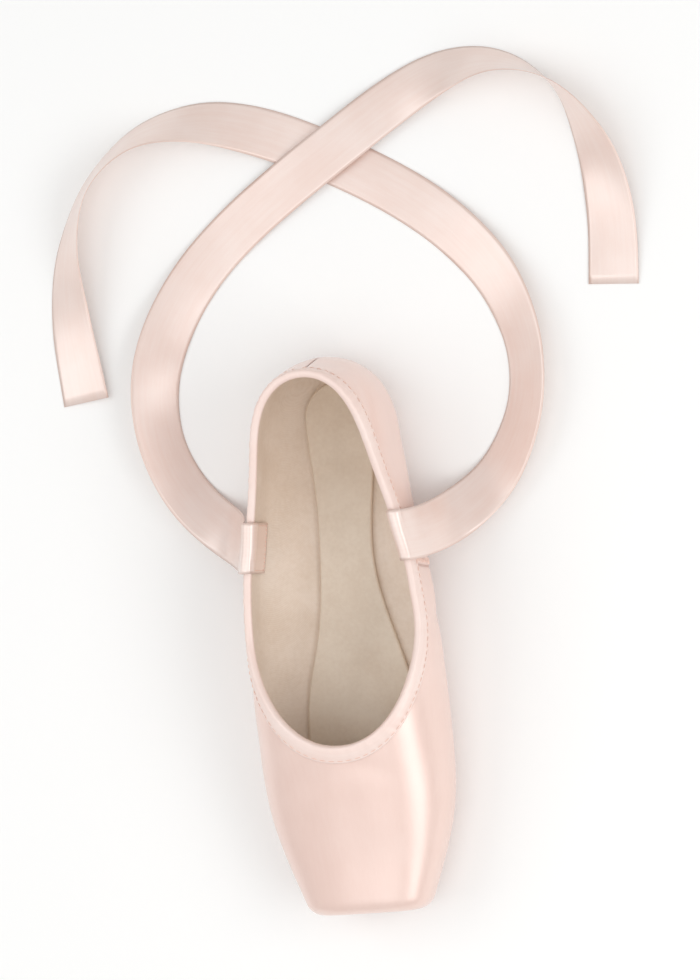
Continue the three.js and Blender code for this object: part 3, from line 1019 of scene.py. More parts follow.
# ------------------------------------ Upper ------------------------------------
class Side(Enum):
    """Where on the upper a crease lies."""

    LEFT = "left"
    RIGHT = "right"
    BOTH = "both"
    TOP = "top"


@dataclass(frozen=True)
class Crease:
    """A soft trough (below zero) or ridge, at a place, with a slant in degrees, in millimetres."""

    side: Side
    x: float
    other: float
    slant: float
    length: float
    width: float
    depth: float


@dataclass
class Upper:
    """The satin upper: box, vamp and quarters, with its pleats, seams and creases.

    A pleat fans out from the end of the sole at an angle, bends by its curl, both in degrees, and
    fades out by its reach.
    """

    skin: Skin
    satin_thickness: float = 0.7
    lining_passes: int = 5
    turn_in: float = 6.6
    toe_fan: float = 170.0
    heel_fan: float = 26.0
    pleat_lip: float = 2.0
    pleat_trough: float = 1.2
    pleat_depth: float = 0.5
    seam_lean: float = 0.07
    seam_lap: float = 0.3
    fold_depth: float = 0.28
    back_depth: float = 0.3
    back_ridge: float = 0.12
    back_reach: float = 20.0
    gather_height: float = 0.1
    wave_height: float = 0.14
    ripple_height: float = 0.05
    toe_calm: float = 0.7
    binding_fade: float = 3.0
    lining_gap: float = 0.1
    zigzag_start: float = 8.5
    zigzag_step: float = 1.15
    zigzag_ends: Sequence[tuple[float, float]] = ((-0.6, 0.0), (-3.4, 0.55))
    back_start: float = 9.0
    back_end: float = 7.0
    back_step: float = 2.2
    back_stitch: float = 1.7
    back_column: int = 4
    toe_pleats: Table = Table("angle depth reach curl", (
        (-80, 0.3, 6, -5), (-68, 0.4, 8, -6), (-56.5, 0.55, 11, -5), (-46, 0.7, 14, 4),
        (-36.5, 0.8, 17, -5), (-27, 0.95, 15, -4), (-18, 0.9, 20, 3), (-9, 1.0, 18, -4),
        (0.5, 0.9, 21, 3), (9.5, 0.88, 17, 2.5), (19, 0.95, 21, -3), (28, 0.9, 16, 4),
        (37, 0.85, 18, 6), (47, 0.7, 13, -4), (57, 0.55, 11, 5), (69, 0.4, 8, 6), (81, 0.3, 6, 5),
    ))
    heel_pleats: Table = Table("angle depth reach curl", (
        (-62, 0.22, 14, 0), (-41, 0.3, 14, 0), (-20, 0.34, 14, 0), (2, 0.3, 14, 0), (24, 0.34, 14, 0),
        (45, 0.28, 14, 0), (66, 0.2, 14, 0),
    ))
    creases: Sequence[Crease] = (
        Crease(Side.BOTH, 104, 15, 28, 46, 3.2, -0.55),
        Crease(Side.BOTH, 96, 20, 12, 50, 4.0, 0.45),
        Crease(Side.BOTH, 82, 17, -18, 40, 3.4, -0.5),
        Crease(Side.LEFT, 118, 27, 52, 30, 4.0, -0.45),
        Crease(Side.RIGHT, 112, 30, 60, 26, 3.6, -0.5),
        Crease(Side.LEFT, 66, 32, 78, 34, 5.0, -0.5),
        Crease(Side.RIGHT, 70, 30, 98, 34, 5.5, -0.45),
        Crease(Side.BOTH, 40, 26, 64, 36, 6.0, -0.4),
        Crease(Side.BOTH, 27, 48, 18, 26, 3.2, -0.4),
        Crease(Side.LEFT, 140, 33, 40, 26, 4.5, -0.35),
        Crease(Side.RIGHT, 136, 35, 34, 30, 4.5, -0.35),
        Crease(Side.TOP, 176, 9, 70, 30, 5.0, -0.22),
        Crease(Side.TOP, 181, -14, 112, 34, 6.0, -0.25),
        Crease(Side.TOP, 205, 3, 4, 46, 8.0, -0.22),
    )

    def pleat_height(self, pleats: Table, fan: float, forward: int) -> tuple[Array, Array]:
        """Works out folds that fan out from the end of the sole.

        Args:
            pleats: The folds.
            fan: Where on the shoe's length they fan out from.
            forward: 1 at the toe and -1 at the heel.

        Returns:
            How far the folds stand out, and how deep in a fold each point lies, the share of painted shade.
        """
        x, y = self.skin.points[..., 0], self.skin.points[..., 1]
        away = np.hypot(x - fan, y)
        angle = np.arctan2(y, (x - fan) * forward)
        beyond = self.skin.from_sole - self.turn_in
        height, crease = np.zeros(x.shape), np.zeros(x.shape)
        for slant, most, reach, curl in pleats.rows:
            centre = np.radians(slant + curl * (beyond / reach) ** 2)
            aside = (angle - centre) * away * (1 if slant >= 0 else -1)
            lip = np.where(aside < 0, np.exp(aside / self.pleat_lip), 0.0)
            fall = np.where(aside >= 0, np.exp(-aside / self.pleat_trough), 1.0)
            trough = -self.pleat_depth * fall
            soft = ease((aside + 0.3) / 0.6)
            depth = most * (1 - ease(beyond / (0.8 * reach) - 0.7))
            height += depth * (lip * (1 - soft) + trough * soft)
            # Painted shade along the line of each fold.
            crease = np.maximum(crease, depth * bell((aside - 0.15) / 0.45))
        return height, np.clip(crease, 0, 1)

    def crease_height(self) -> Array:
        """Adds up the listed creases.

        Returns:
            The height at each point of the skin.
        """
        x, y, z = (self.skin.points[..., i] for i in range(3))
        sides = {Side.LEFT: ease(y / 6), Side.RIGHT: ease(-y / 6), Side.BOTH: 1.0}
        shares = {Side.TOP: rise(z, 26, 8), **sides}
        total = np.zeros(x.shape)
        for crease in self.creases:
            turn = math.radians(crease.slant)
            ahead, over = x - crease.x, (y if crease.side is Side.TOP else z) - crease.other
            along = ahead * math.cos(turn) + over * math.sin(turn)
            across = over * math.cos(turn) - ahead * math.sin(turn)
            shape = bell(across / crease.width) * bell(along / (crease.length / 2))
            total += crease.depth * (shape * shares[crease.side])
        return total

    def seam_x(self, z: Any) -> Any:
        """Where the side seam runs, by height."""
        return self.skin.seam_at + self.seam_lean * (24 - z)

    def relief(self) -> tuple[Array, Array]:
        """Works out how far the satin stands off the last, and the shade painted into its creases.

        Returns:
            The height, and the share of painted crease shade, at each point of the skin.
        """
        skin = self.skin
        x, y, z = (skin.points[..., i] for i in range(3))
        past_edge = rise(skin.from_sole, 5.8, 2.0)

        toe, toe_crease_shade = self.pleat_height(self.toe_pleats, self.toe_fan, 1)
        under = past_edge * (1 - rise(z, 6.5, 7.5)) * rise(x, 184, 14)
        heel, heel_crease_shade = self.pleat_height(self.heel_pleats, self.heel_fan, -1)
        behind = past_edge * (1 - rise(skin.from_sole, 9, 15)) * (1 - rise(x, 18, 14))

        line = self.seam_x(z)
        step = ease((line - x) / 0.8 + 0.5)
        lap = self.seam_lap * step * (1 - rise(line - x, 3, 16))
        fold = bell((x - line - 0.35) / 0.5)
        back = bell(y / 0.55) * (x < self.back_reach)
        ridge = bell((np.abs(y) - 1.5) / 0.9) * (x < self.back_reach)

        gather = np.sin(x * 0.92 + 1.3 * np.sin(x * 0.21)) * bell((skin.from_sole - 11) / 5)
        wave = np.sin(x * 0.11 + 2.1 * np.sin(z * 0.09)) * np.sin(z * 0.16 + y * 0.07 + 0.8)
        ripple = np.sin(x * 0.33 + z * 0.21 + 1.7 * np.sin(y * 0.09))
        loose = 1 - self.toe_calm * rise(x, 150, 40)
        slack = self.gather_height * gather + self.wave_height * wave + self.ripple_height * ripple
        seams = self.crease_height() + lap - self.fold_depth * fold - self.back_depth * back
        seams += self.back_ridge * ridge
        height = toe * under + heel * behind + past_edge * seams + past_edge * loose * slack
        # Painted shade in the pleats' creases, the side seam's fold and the back seam's trough.
        crease = toe_crease_shade * under + heel_crease_shade * behind * 0.7 + past_edge * (0.55 * fold + 0.5 * back)
        return height * ease(skin.to_collar / self.binding_fade), np.clip(crease, 0, 1)

    def build(self, maker: MeshMaker, satin: Satin, lining: PlainCloth, thread: SewingThread) -> None:
        """Builds the satin, the lining and the seams' stitches.

        Args:
            maker: The mesh maker.
            satin: The outer finish.
            lining: The inner finish.
            thread: The stitches' finish.
        """
        skin = self.skin
        height, crease = self.relief()
        face = skin.points + skin.normals * height[..., None]
        back = skin.points - skin.normals * self.satin_thickness
        # The share of painted crease shade, none on the satin's inner face.
        crease_shade_attributes = {"crease": np.concatenate([crease, np.zeros(crease.shape)], axis=1)}
        points, faces = self.shell(face, back)
        maker.piece("satin_upper", points, faces, satin.build(), "satin_upper", "upper", crease_shade_attributes)

        every = (slice(None, None, 2), slice(None, None, 2))
        points, normals = skin.points[every], skin.normals[every]
        inner = self.softened(points - normals * skin.last.wall(points[..., :1]))
        points, faces = self.shell(points - normals * (self.satin_thickness + self.lining_gap), inner)
        maker.piece("cotton_lining", points, faces, lining.build(), "insole_cloth")
        self.stitch_seams(maker, thread.build(), face)

    def softened(self, grid: Array) -> Array:
        """Rounds a grid along its rows, which keeps the lining from folding over itself in a corner.

        Args:
            grid: The grid, which is changed.

        Returns:
            The same grid.
        """
        for _ in range(self.lining_passes):
            grid[:, 1:-1] = (grid[:, :-2] + 2 * grid[:, 1:-1] + grid[:, 2:]) / 4
        return grid

    def shell(self, outer: Array, inner: Array) -> tuple[Array, list[Face]]:
        """Joins an outer and an inner grid into the points and faces of one closed shell."""
        rings = np.concatenate([outer, inner[:, ::-1]], axis=1)
        return rings.reshape(-1, 3), band_faces(rings.shape[0], rings.shape[1], True, flip=True)

    def stitch_seams(self, maker: MeshMaker, material: Material, face: Array) -> None:
        """Sews the side seams with a close zigzag and the back seam with small stitches.

        Args:
            maker: The mesh maker.
            material: The thread's material.
            face: The satin's outer grid.
        """
        skin, half = self.skin, self.skin.half_columns
        zigzag = Stitches(radius=0.17)
        for columns in (range(1, half), range(half + 1, 2 * half)):
            near = min(columns, key=lambda c: abs(skin.points[c, skin.rows // 2, 0] - skin.seam_at))
            reach = skin.from_sole[near]
            place = self.zigzag_start
            while place < reach[-1] - self.turn_in:
                row = int(np.searchsorted(reach, place))
                ends = []
                for ahead, up in self.zigzag_ends:
                    wanted = self.seam_x(skin.points[near, row, 2]) + ahead
                    strip = skin.points[columns.start : columns.stop, row, 0]
                    column = columns[int(np.argmin(np.abs(strip - wanted)))]
                    other = int(np.searchsorted(skin.from_sole[column], place + up * self.zigzag_step))
                    ends.append(face[column, min(other, skin.rows)])
                zigzag.add(ends[0], ends[1], skin.normals[near, row])
                place += self.zigzag_step
        zigzag.build(maker, "side_seam_stitches", "satin_upper", material)

        back = Stitches(radius=0.14)
        for column in (self.back_column, 2 * half - self.back_column):
            reach = skin.from_sole[column]
            for place in np.arange(self.back_start, reach[-1] - self.back_end, self.back_step):
                first, second = np.searchsorted(reach, [place, place + self.back_stitch])
                back.add(face[column, first], face[column, second], skin.normals[column, first])
        back.build(maker, "back_seam_stitches", "satin_upper", material)


# ------------------------------------ Collar binding ------------------------------------
@dataclass
class Binding:
    """The bias tape folded over the collar's edge, with a drawstring channel and a stitch line.

    The legs list how far down the wall and how far off it each point lies. The crown lists how far
    aside, as a share of half the wall, and how far above the edge.
    """

    skin: Skin
    step: float = 1.1
    pucker: float = 0.084
    stitch_down: float = 5.5
    stitch_off: float = 0.56
    stitch_step: float = 0.5
    stitch_steps: int = 4
    stitch_pitch: int = 6
    tuck: float = 0.12
    rise_from: float = 1.5
    outer_leg: Table = Table("down off", (
        (6.4, 0.12), (6.4, 0.44), (5.95, 0.56), (5.45, 0.46), (4.8, 0.62), (3.6, 0.78), (2.4, 0.86),
        (1.2, 0.86), (0.3, 0.78),
    ))
    inner_leg: Table = Table("down off", (
        (0.3, 0.78), (1.4, 0.8), (2.8, 0.72), (4.0, 0.56), (4.4, 0.42), (4.4, 0.1),
    ))
    crown: Table = Table("aside above", (
        (1.42, 0.34), (0.95, 0.72), (0.0, 0.9), (-0.95, 0.72), (-1.42, 0.34),
    ))

    def build(self, maker: MeshMaker, satin: Satin, thread: SewingThread) -> None:
        """Builds the tape and its stitches.

        Args:
            maker: The mesh maker.
            satin: The tape's finish.
            thread: The stitches' finish.
        """
        edge, edge_normal = self.skin.below_collar(0.0)
        rings, travelled = self.respread(self.section(edge, edge_normal), edge, self.step)
        normals = self.respread(edge_normal[:, None], edge, self.step)[0][:, 0]
        gather = np.sin(travelled * 1.55 + 1.1 * np.sin(travelled * 0.37)) + 0.6 * np.sin(travelled * 0.83)
        swell = np.zeros(rings.shape[1])
        swell[3 : len(self.outer_leg.rows) + 4] = 1.0
        rings = rings + (normals[:, None] * gather[:, None, None] * swell[None, :, None]) * self.pucker
        faces = band_faces(len(rings), rings.shape[1], True, flip=True)
        strip = np.stack(np.broadcast_arrays(travelled[:, None], travel(rings[0])[None, :]), -1)
        maker.piece(
            "binding_tape", rings.reshape(-1, 3), faces, satin.build(), "satin_binding", "collar_binding",
            strip=strip.reshape(-1, 2),
        )

        seam, seam_normal = self.skin.below_collar(self.stitch_down)
        line, _ = self.respread((seam + seam_normal * self.stitch_off)[:, None], edge, self.stitch_step)
        normals = self.respread(seam_normal[:, None], edge, self.stitch_step)[0][:, 0]
        sewn = Stitches(radius=0.17)
        for start in np.arange(0, len(line) - self.stitch_pitch + 1, self.stitch_pitch):
            sewn.add(line[start, 0], line[start + self.stitch_steps, 0], normals[start])
        sewn.build(maker, "binding_stitches", "satin_binding", thread.build())

    def section(self, edge: Array, normal: Array) -> Array:
        """Places the tape's section at each column: up the outside, over the edge and down the inside.

        Args:
            edge: The collar's edge, one point for each column.
            normal: The normals there.

        Returns:
            One ring of points for each column.
        """
        upward = unit(edge - self.skin.below_collar(self.rise_from)[0])
        wall = self.skin.last.wall(edge[:, :1])
        half = wall / 2
        lines = [self.line(down, off, 0.0) for down, off in self.outer_leg.rows]
        for aside, above in self.crown.rows:
            out = aside * half + np.sign(aside) * 0.2
            lines.append(edge - normal * half + normal * out + upward * above)
        lines += [self.line(down, -off, 1.0) for down, off in self.inner_leg.rows]
        lines += [
            edge - normal * (wall + 0.1),
            edge + upward * self.tuck - normal * (wall + 0.05),
            edge + upward * self.tuck + normal * 0.05,
            edge + normal * 0.1,
        ]
        return np.stack(lines, axis=1)

    def line(self, down: float, off: float, through: float) -> Array:
        """Places one point of the tape's section at each column.

        Args:
            down: How far below the collar's edge.
            off: How far out from the wall's face, below zero on the inside.
            through: 0 on the wall's outer face and 1 on its inner face.

        Returns:
            One point for each column.
        """
        points, normals = self.skin.below_collar(down)
        wall = self.skin.last.wall(points[:, :1])
        return points - normals * wall * through + normals * off

    def respread(self, rings: Array, edge: Array, step: float) -> tuple[Array, Array]:
        """Spaces rings of points evenly round the collar.

        Args:
            rings: One ring for each column.
            edge: The collar's edge, one point for each column.
            step: The spacing.

        Returns:
            The evenly spaced rings, and the distance round the collar of each.
        """
        travelled = travel(np.concatenate([edge, edge[:1]]))
        count = int(round(travelled[-1] / step))
        wanted = np.arange(count) * travelled[-1] / count
        place = np.interp(wanted, travelled, np.arange(len(travelled)))
        i = np.minimum(place.astype(int), len(edge) - 1)
        share = (place - i)[:, None, None]
        return rings[i] * (1 - share) + rings[(i + 1) % len(edge)] * share, wanted


# ------------------------------------ Soles ------------------------------------
@dataclass
class SoleSheet:
    """A sheet cut to the sole's outline, for the outsole and the insole."""

    last: Last
    name: str
    node: str
    inset: float
    bottom: Callable[[Array], Array]
    thickness: float
    round_over: float
    deepest: float = 12.6
    half_steps: int = 110
    tread_inset: float = 3.0
    tread_start: float = 122.0
    tread_end: float = 198.0
    # Within this inset the bottom's rim gets half the dark edge colour, partly painted shade.
    dark_rim_inset: float = 1.4

    def outline(self, inset: float) -> Array:
        """Draws the outline, starting at the heel.

        Args:
            inset: How far in it is drawn.

        Returns:
            The outline's points, seen from above.
        """
        last = self.last
        share = np.linspace(0, 1, self.half_steps + 1)
        turn = (1 - np.cos(math.pi * share)) / 2
        start, end = last.sole_start + inset, last.sole_end - inset
        x = start + (end - start) * (0.8 * turn + 0.2 * share)
        left = np.stack([x, last.sole_half(x, inset)], 1)
        return np.concatenate([left, left[1:-1][::-1] * np.array([1.0, -1.0])])

    def rows(self) -> list[tuple[float, float]]:
        """Lists the rings, from the middle of the bottom to the middle of the top.

        Returns:
            Each ring's inset and height.
        """
        soft = self.round_over
        under = [(inset, 0.0) for inset in (self.deepest, 10.0, 7.5, 5.0, 3.2, 2.0, 1.3, soft)]
        turn = np.linspace(0, math.pi / 2, 4)[1:]
        lower = [(soft * (1 - math.sin(t)), soft * (1 - math.cos(t))) for t in turn]
        upper = [(inset, self.thickness - up) for inset, up in reversed(lower)]
        return under + lower + upper + [(inset, self.thickness) for inset, _ in reversed(under)]

    def build(self, maker: MeshMaker, material: Material) -> None:
        """Builds the sheet.

        Args:
            maker: The mesh maker.
            material: The sheet's material.
        """
        rings, edge, tread = [], [], []
        for inset, up in self.rows():
            plan = self.outline(self.inset + inset)
            rings.append(np.column_stack([plan, self.bottom(plan[:, 0]) + up]))
            # The edge attribute places the dark edge colour, partly painted shade.
            is_edge = 0.0 < up < self.thickness or inset <= self.round_over
            edge.append(np.full(len(plan), 1.0 if is_edge else 0.5 * (inset < self.dark_rim_inset)))
            start, end = (rise(plan[:, 0], at, 2) for at in (self.tread_start, self.tread_end))
            tread.append(start * (1 - end) * float(inset >= self.tread_inset and up == 0.0))
        size = len(rings[0])
        faces = band_faces(len(rings), size, False, flip=True)
        faces += self.cap(0, size, False) + self.cap((len(rings) - 1) * size, size, True)
        points = np.concatenate(rings)
        heel = 1 - rise(points[:, 0], 30, 60)
        attributes = {"edge": np.concatenate(edge), "tread": np.concatenate(tread), "heel": heel}
        maker.piece(self.name, points, faces, material, self.name, self.node, attributes)

    def cap(self, start: int, size: int, is_top: bool) -> list[Face]:
        """Closes the middle of a ring with strips from side to side.

        Args:
            start: The ring's first point.
            size: Points in the ring.
            is_top: Whether the cap faces up.

        Returns:
            The faces.
        """
        faces: list[Face] = []
        for i in range(size // 2):
            a, b = start + i, start + i + 1
            c, d = start + (size - i) % size, start + size - i - 1
            corners = (a, b, d) if i == 0 else (a, b, c) if i == size // 2 - 1 else (a, b, d, c)
            faces.append(corners[::-1] if is_top else corners)
        return faces


# ------------------------------------ Ribbons ------------------------------------
ROUTE_COLUMNS = "x y lift heading bank"
LEFT_ROUTE = Table(ROUTE_COLUMNS, (
    (80, 33.2, 21, 99, 0), (80, 33.5, 33, 99, 0), (80, 31.4, 41.4, 100, -1.5), (80, 30.5, 43.75, 101, -5),
    (80, 31.4, 45.5, 101, -8), (80, 33.7, 46.5, 101, -8), (79.9, 36, 45.5, 101, -8),
    (79.8, 37.1, 43.75, 101, -5), (79.4, 38.9, 39.4, 101, -1.5), (78.4, 41.3, 31.7, 103, 0),
    (76.2, 45.2, 22, 108, 3), (72.2, 51, 12, 115, 8), (65.6, 59.4, 4.5, 125, 14), (55.5, 69.5, 0.8, 138, 21),
    (41, 78.5, 0.1, 152, 29), (20, 85, 0.1, 170, 34), (-4, 84, 0.1, 191, 30), (-28, 75, 0.1, 210, 18),
    (-50, 58, 0.1, 224, 7), (-70, 34, 0.1, 234, 0), (-86, 8, 0.1, 241, 0), (-100, -20, 0.1, 248, -5),
    (-109, -50, 0.1, 262, -30), (-106, -81, 0.1, 288, -56), (-88, -105, 0.1, 318, -64),
    (-61, -117, 0.1, 343, -48), (-31, -120, 0.1, 358, -22), (8, -117, 0.1, 365, -5),
))
RIGHT_ROUTE = Table(ROUTE_COLUMNS, (
    (80, -33.2, 21, -99, 0), (80, -33.5, 33, -99, 0), (80, -31.4, 41.4, -100, 1.5),
    (80, -30.5, 43.75, -101, 5), (80, -31.4, 45.5, -101, 8), (80, -33.7, 46.5, -101, 8),
    (79.9, -36, 45.5, -101, 8), (79.8, -37.1, 43.75, -101, 5), (79.5, -38.9, 39.4, -101, 1.5),
    (78.6, -41.2, 31.7, -102, 0), (76.8, -44.9, 22, -105, -3), (73.3, -50.6, 12, -111, -8),
    (67.2, -58.9, 4.5, -121, -15), (57.2, -68.8, 0.8, -134, -24), (42, -77.5, 0.1, -150, -34),
    (21, -82.8, 0.1, -170, -38), (-3, -81.5, 0.1, -190, -28), (-26, -72.3, 0.1, -209, -13),
    (-47, -56.5, 0.3, -223, -3), (-66, -34, 1.2, -234, 0), (-83, -8, 2.6, -239, 0), (-99, 18, 2.4, -240, 3),
    (-114, 45, 0.6, -246, 14), (-121, 75, 0.1, -264, 48), (-111, 104, 0.1, -301, 90),
    (-86, 121, 0.1, -333, 132), (-57, 127, 0.1, -354, 164), (-20, 125.5, 0.1, -364, 180),
))


@dataclass
class Ribbon:
    """A satin ribbon sewn inside a quarter and lying loose behind the shoe.

    Its route lists places, the lift off the floor, and the heading and bank in degrees.
    """

    name: str
    node: str
    route: Table
    width: float = 22.0
    thickness: float = 0.34
    floor_gap: float = 0.3
    steps_a_row: int = 9
    across_steps: int = 14
    crown: float = 0.18
    shrink: float = 0.04
    edge_thinning: float = 0.35
    edge_width: float = 0.05
    ripple_height: float = 0.1
    ripple_turn: float = 0.19
    lowest: float = 0.04
    sewn_start: float = 1.5
    sewn_inset: float = 1.3
    sewn_length: float = 17.0
    stitch_reach: float = 0.6
    stitch_slant: float = 0.35
    stitch_lift: float = 0.05
    stitches_across: int = 12
    stitches_along: int = 8

    def __post_init__(self) -> None:
        """Lays the centre line and works out its directions."""
        at = travel(np.array([self.route.column(name) for name in ("x", "y", "lift")]).T)
        splines = [Spline(at, self.route.column(name)) for name in self.route.columns.split()]
        count = (len(at) - 1) * self.steps_a_row
        along = np.interp(np.arange(count + 1) / self.steps_a_row, np.arange(len(at)), at)
        x, y, lift, heading, bank = (spline(along) for spline in splines)
        turn, lean = np.radians(heading), np.radians(bank)
        rest = self.width / 2 * np.abs(np.sin(lean)) + self.floor_gap
        self.centres = np.stack([x, y, np.maximum(0.1, lift) + rest], 1)
        self.ahead = unit(np.gradient(self.centres, axis=0))
        level = np.stack([np.sin(turn), -np.cos(turn), 0 * turn], 1) * np.cos(lean)[:, None]
        level[:, 2] = np.sin(lean)
        dots = np.sum(level * self.ahead, 1, keepdims=True)
        self.right = unit(level - self.ahead * dots)
        self.face = np.cross(self.right, self.ahead)
        self.travelled = travel(self.centres)

    def build(self, maker: MeshMaker, material: Material) -> None:
        """Args:
            maker: The mesh maker.
            material: Its material.
        """
        side = np.linspace(1, -1, self.across_steps + 1)
        reach = side * (self.width / 2 - self.shrink)
        thin = (1 - self.edge_thinning * bell((1 - np.abs(side)) / self.edge_width)) * self.thickness / 2
        curve = self.crown * (1 - side**2) - self.crown / 2
        ripple = self.ripple_height * np.sin(self.travelled * self.ripple_turn)
        offset = curve[None, :] + ripple[:, None] * side[None, :] ** 2
        lines = self.centres[:, None] + self.right[:, None] * reach[None, :, None]
        lifted = lines + self.face[:, None] * offset[..., None]
        thick = self.face[:, None] * thin[None, :, None]
        rings = np.concatenate([lifted + thick, (lifted - thick)[:, ::-1]], axis=1)
        rings[..., 2] = np.maximum(rings[..., 2], self.lowest)
        count, size = rings.shape[:2]
        faces = band_faces(count, size, False)
        faces.append(tuple(range(size))[::-1])
        faces.append(tuple(range((count - 1) * size, count * size)))
        across = np.concatenate([side, side[::-1]]) * self.width / 2
        strip = np.stack(np.broadcast_arrays(self.travelled[:, None], across[None, :]), -1).reshape(-1, 2)
        points = rings.reshape(-1, 3)
        piece = maker.piece(self.name, points, faces, material, "satin_ribbon", self.node, strip=strip)
        path = maker.to_frame(self.centres)
        LOG.info("%s is %.0f mm long", self.name, self.travelled[-1])

    def sew(self, stitches: Stitches, inward: Array) -> None:
        """Adds the small whip stitches that hold the ribbon's end inside the quarter.

        Args:
            stitches: The stitches to add to.
            inward: The direction from the wall to the inside of the shoe.
        """
        half = self.width / 2 - self.sewn_inset
        low = self.sewn_start
        high = float(np.interp(self.sewn_length, self.travelled, np.arange(len(self.travelled))))
        for share in np.linspace(-1, 1, self.stitches_across):
            for row in (low, high):
                self.stitch(stitches, row, share * half, 0.0, inward)
        for share in np.linspace(0.08, 0.92, self.stitches_along):
            for aside in (-half, half):
                self.stitch(stitches, low + (high - low) * share, aside, 1.0, inward)

    def stitch(self, stitches: Stitches, row: float, aside: float, upright: float, inward: Array) -> None:
        """Adds one stitch on the ribbon's inner face.

        Args:
            stitches: The stitches to add to.
            row: Where along the centre line, in its own steps.
            aside: How far across the ribbon.
            upright: 1 for a stitch along the ribbon and 0 for one across it.
            inward: The direction from the wall to the inside of the shoe.
        """
        i = int(row)
        way = self.ahead[i] * upright + self.right[i] * (1 - upright) + self.ahead[i] * self.stitch_slant
        centre = self.centres[i] + self.ahead[i] * (row - i) + self.right[i] * aside
        centre = centre + inward * (self.thickness / 2 + self.stitch_lift)
        reach = unit(way) * self.stitch_reach
        stitches.add(centre - reach, centre + reach, inward)


# ------------------------------------ Studio ------------------------------------
@dataclass(frozen=True)
class SoftBox:
    """An area light: where it stands, how large and how strong it is."""

    name: str
    place: tuple[float, float, float]
    size: tuple[float, float]
    power: float


@dataclass
class Studio:
    """The pale floor, the soft lights and the camera."""

    aim: tuple[float, float, float] = (-0.062, 0.004, 0.012)
    towards_camera: tuple[float, float, float] = (0.03, 0.27, 0.96)
    distance: float = 1.7
    roll_degrees: float = 5.0
    frame_height: float = 0.425
    sensor: float = 36.0
    world: float = 0.61
    floor_reach: float = 6.0
    floor_rise: float = 4.0
    floor_bend: float = 1.5
    boxes: Sequence[SoftBox] = (
        SoftBox("side_softbox", (0.25, 1.05, 0.9), (1.3, 0.6), 6.0),
        SoftBox("top_softbox", (0.35, 0.0, 1.6), (1.0, 1.0), 4.0),
        SoftBox("left_softbox", (-0.2, -1.0, 1.1), (1.2, 0.9), 4.0),
    )

    def build(self) -> None:
        """Builds the camera, floor, lights and air."""
        self.build_camera()
        self.build_floor()
        for box in self.boxes:
            self.build_light(box)
        world = bpy.data.worlds.new("studio_air")
        world.use_nodes = True
        air = world.node_tree.nodes["Background"]
        air.inputs["Color"].default_value = (1.0, 1.0, 1.0, 1.0)
        air.inputs["Strength"].default_value = self.world
        bpy.context.scene.world = world
        bpy.context.scene.view_settings.view_transform = "Standard"

    def add(self, name: str, data: Any) -> bpy.types.Object:
        """Puts a new object into the scene.

        Args:
            name: Its name.
            data: Its mesh, light or camera.

        Returns:
            The object.
        """
        made = bpy.data.objects.new(name, data)
        bpy.context.scene.collection.objects.link(made)
        return made

    def build_camera(self) -> None:
        """Sets the camera above the vamp, with the heel at the top of the picture."""
        back = Vector(self.towards_camera).normalized()
        roll = math.radians(self.roll_degrees)
        up = Vector((-math.cos(roll), math.sin(roll), 0.0))
        up = (up - back * up.dot(back)).normalized()
        turn = Matrix((up.cross(back), up, back)).transposed().to_4x4()
        data = bpy.data.cameras.new("studio_camera")
        data.lens = self.sensor * self.distance / self.frame_height
        data.sensor_width = self.sensor
        camera = self.add("studio_camera", data)
        camera.matrix_world = Matrix.Translation(Vector(self.aim) + back * self.distance) @ turn
        bpy.context.scene.camera = camera

    def build_floor(self) -> bpy.types.Object:
        """Makes the floor, a wide sheet that curves up far behind the shoe.

        Returns:
            The floor.
        """
        reach, bend = self.floor_reach, self.floor_bend
        turn = np.linspace(0, math.pi / 2, 17)
        x = np.concatenate([[reach], [-reach + bend], -reach + bend - bend * np.sin(turn[1:]), [-reach]])
        z = np.concatenate([[0.0], [0.0], bend * (1 - np.cos(turn[1:])), [self.floor_rise]])
        points = [(a, side * reach, b) for a, b in zip(x, z) for side in (-1, 1)]
        faces = [(2 * i + 1, 2 * i + 3, 2 * i + 2, 2 * i) for i in range(len(x) - 1)]
        mesh = bpy.data.meshes.new("studio_floor")
        mesh.from_pydata(points, [], faces)
        mesh.materials.append(Floor().build())
        return self.add("studio_floor", mesh)

    def build_light(self, box: SoftBox) -> None:
        """Hangs one soft box, aimed at the shoe.

        Args:
            box: The soft box.
        """
        data = bpy.data.lights.new(box.name, "AREA")
        data.shape = "RECTANGLE"
        data.size, data.size_y = box.size
        data.energy = box.power
        light = self.add(box.name, data)
        light.location = box.place
        light.rotation_euler = (Vector(self.aim) - Vector(box.place)).to_track_quat("-Z", "Y").to_euler()


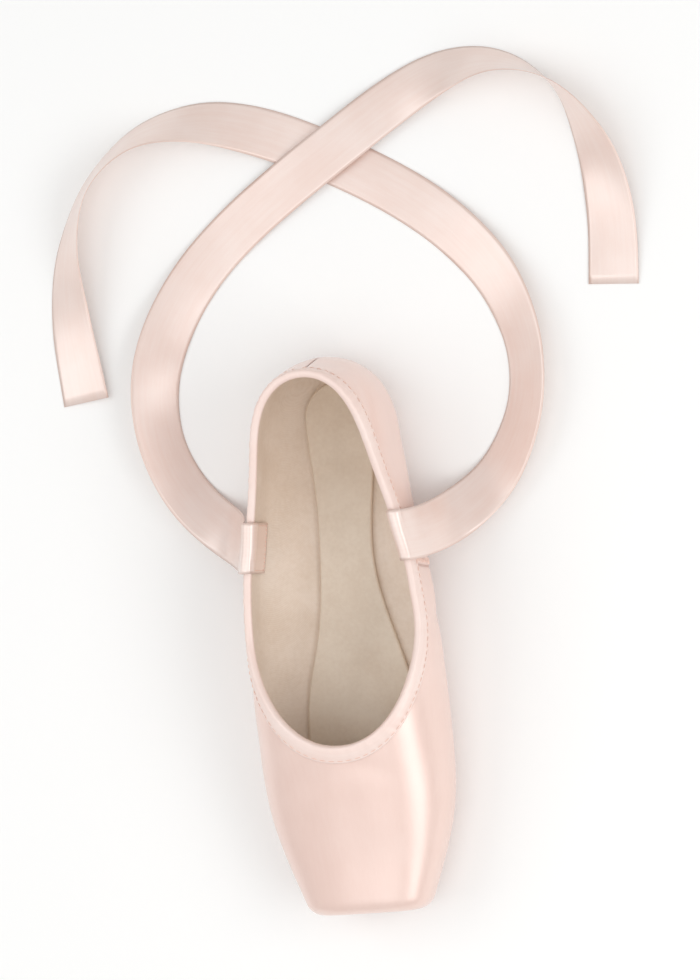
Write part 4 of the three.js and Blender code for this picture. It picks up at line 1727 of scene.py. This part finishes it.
# ------------------------------------ The shoe ------------------------------------
def main() -> None:
    """Builds the studio and each piece of the shoe in order."""
    logging.basicConfig(level=logging.INFO, format="%(message)s")
    low, high = (np.array(corner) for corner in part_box("upper"))
    maker = MeshMaker(heel_x=float(low[0]))
    Studio().build()

    ribbon_satin = Satin(
        "ribbon_satin", shade(246, 226, 217), shade(240, 212, 200), Warp.ALONG_STRIP, has_selvedge=True
    ).build()
    ribbons = [
        Ribbon("ribbon_left_satin", "ribbon_left", LEFT_ROUTE),
        Ribbon("ribbon_right_satin", "ribbon_right", RIGHT_ROUTE),
    ]
    for ribbon in ribbons:
        ribbon.build(maker, ribbon_satin)

    last = Last(length=round(float(high[0] - low[0]) / MM, 2))
    LOG.info("the last is %.1f mm long", last.length)
    skin = Skin(last)
    # The upper's satin has shade painted into its creases.
    upper_satin = Satin(
        "upper_satin", shade(243, 212, 200), shade(239, 205, 192), Warp.TOE_TO_HEEL, has_crease_shade=True
    )
    lining = PlainCloth("lining_cotton", shade(240, 226, 212), shade(226, 208, 190))
    Upper(skin).build(maker, upper_satin, lining, SewingThread("pale_thread", shade(247, 216, 202)))
    tape = Satin(
        "binding_satin", shade(249, 230, 222), shade(244, 218, 208), Warp.ALONG_STRIP,
        roughness=0.5, gloss=0.2, index=1.6,
    )
    thread = SewingThread("peach_thread", shade(240, 200, 182))
    Binding(skin).build(maker, tape, thread)

    under = last.floor_gap + last.sole_thickness
    SoleSheet(
        last, "outsole_leather", "outsole", 0.0, lambda x: last.underside(x) - under, last.sole_thickness, 0.6
    ).build(maker, SoleLeather("sole_leather").build())
    SoleSheet(
        last, "insole_cloth", "insole", 1.4, lambda x: last.underside(x) + last.wall(x) + last.floor_gap,
        last.insole_thickness, 0.9, 10.8,
    ).build(maker, PlainCloth("insole_cotton", shade(236, 224, 208), shade(222, 206, 188)).build())

    sewn = Stitches()
    for ribbon, inward in zip(ribbons, (-1.0, 1.0)):
        ribbon.sew(sewn, np.array([0.0, inward, 0.0]))
    sewn.build(maker, "ribbon_stitches", "satin_ribbon", thread.build())


if __name__ == "__main__":
    main()
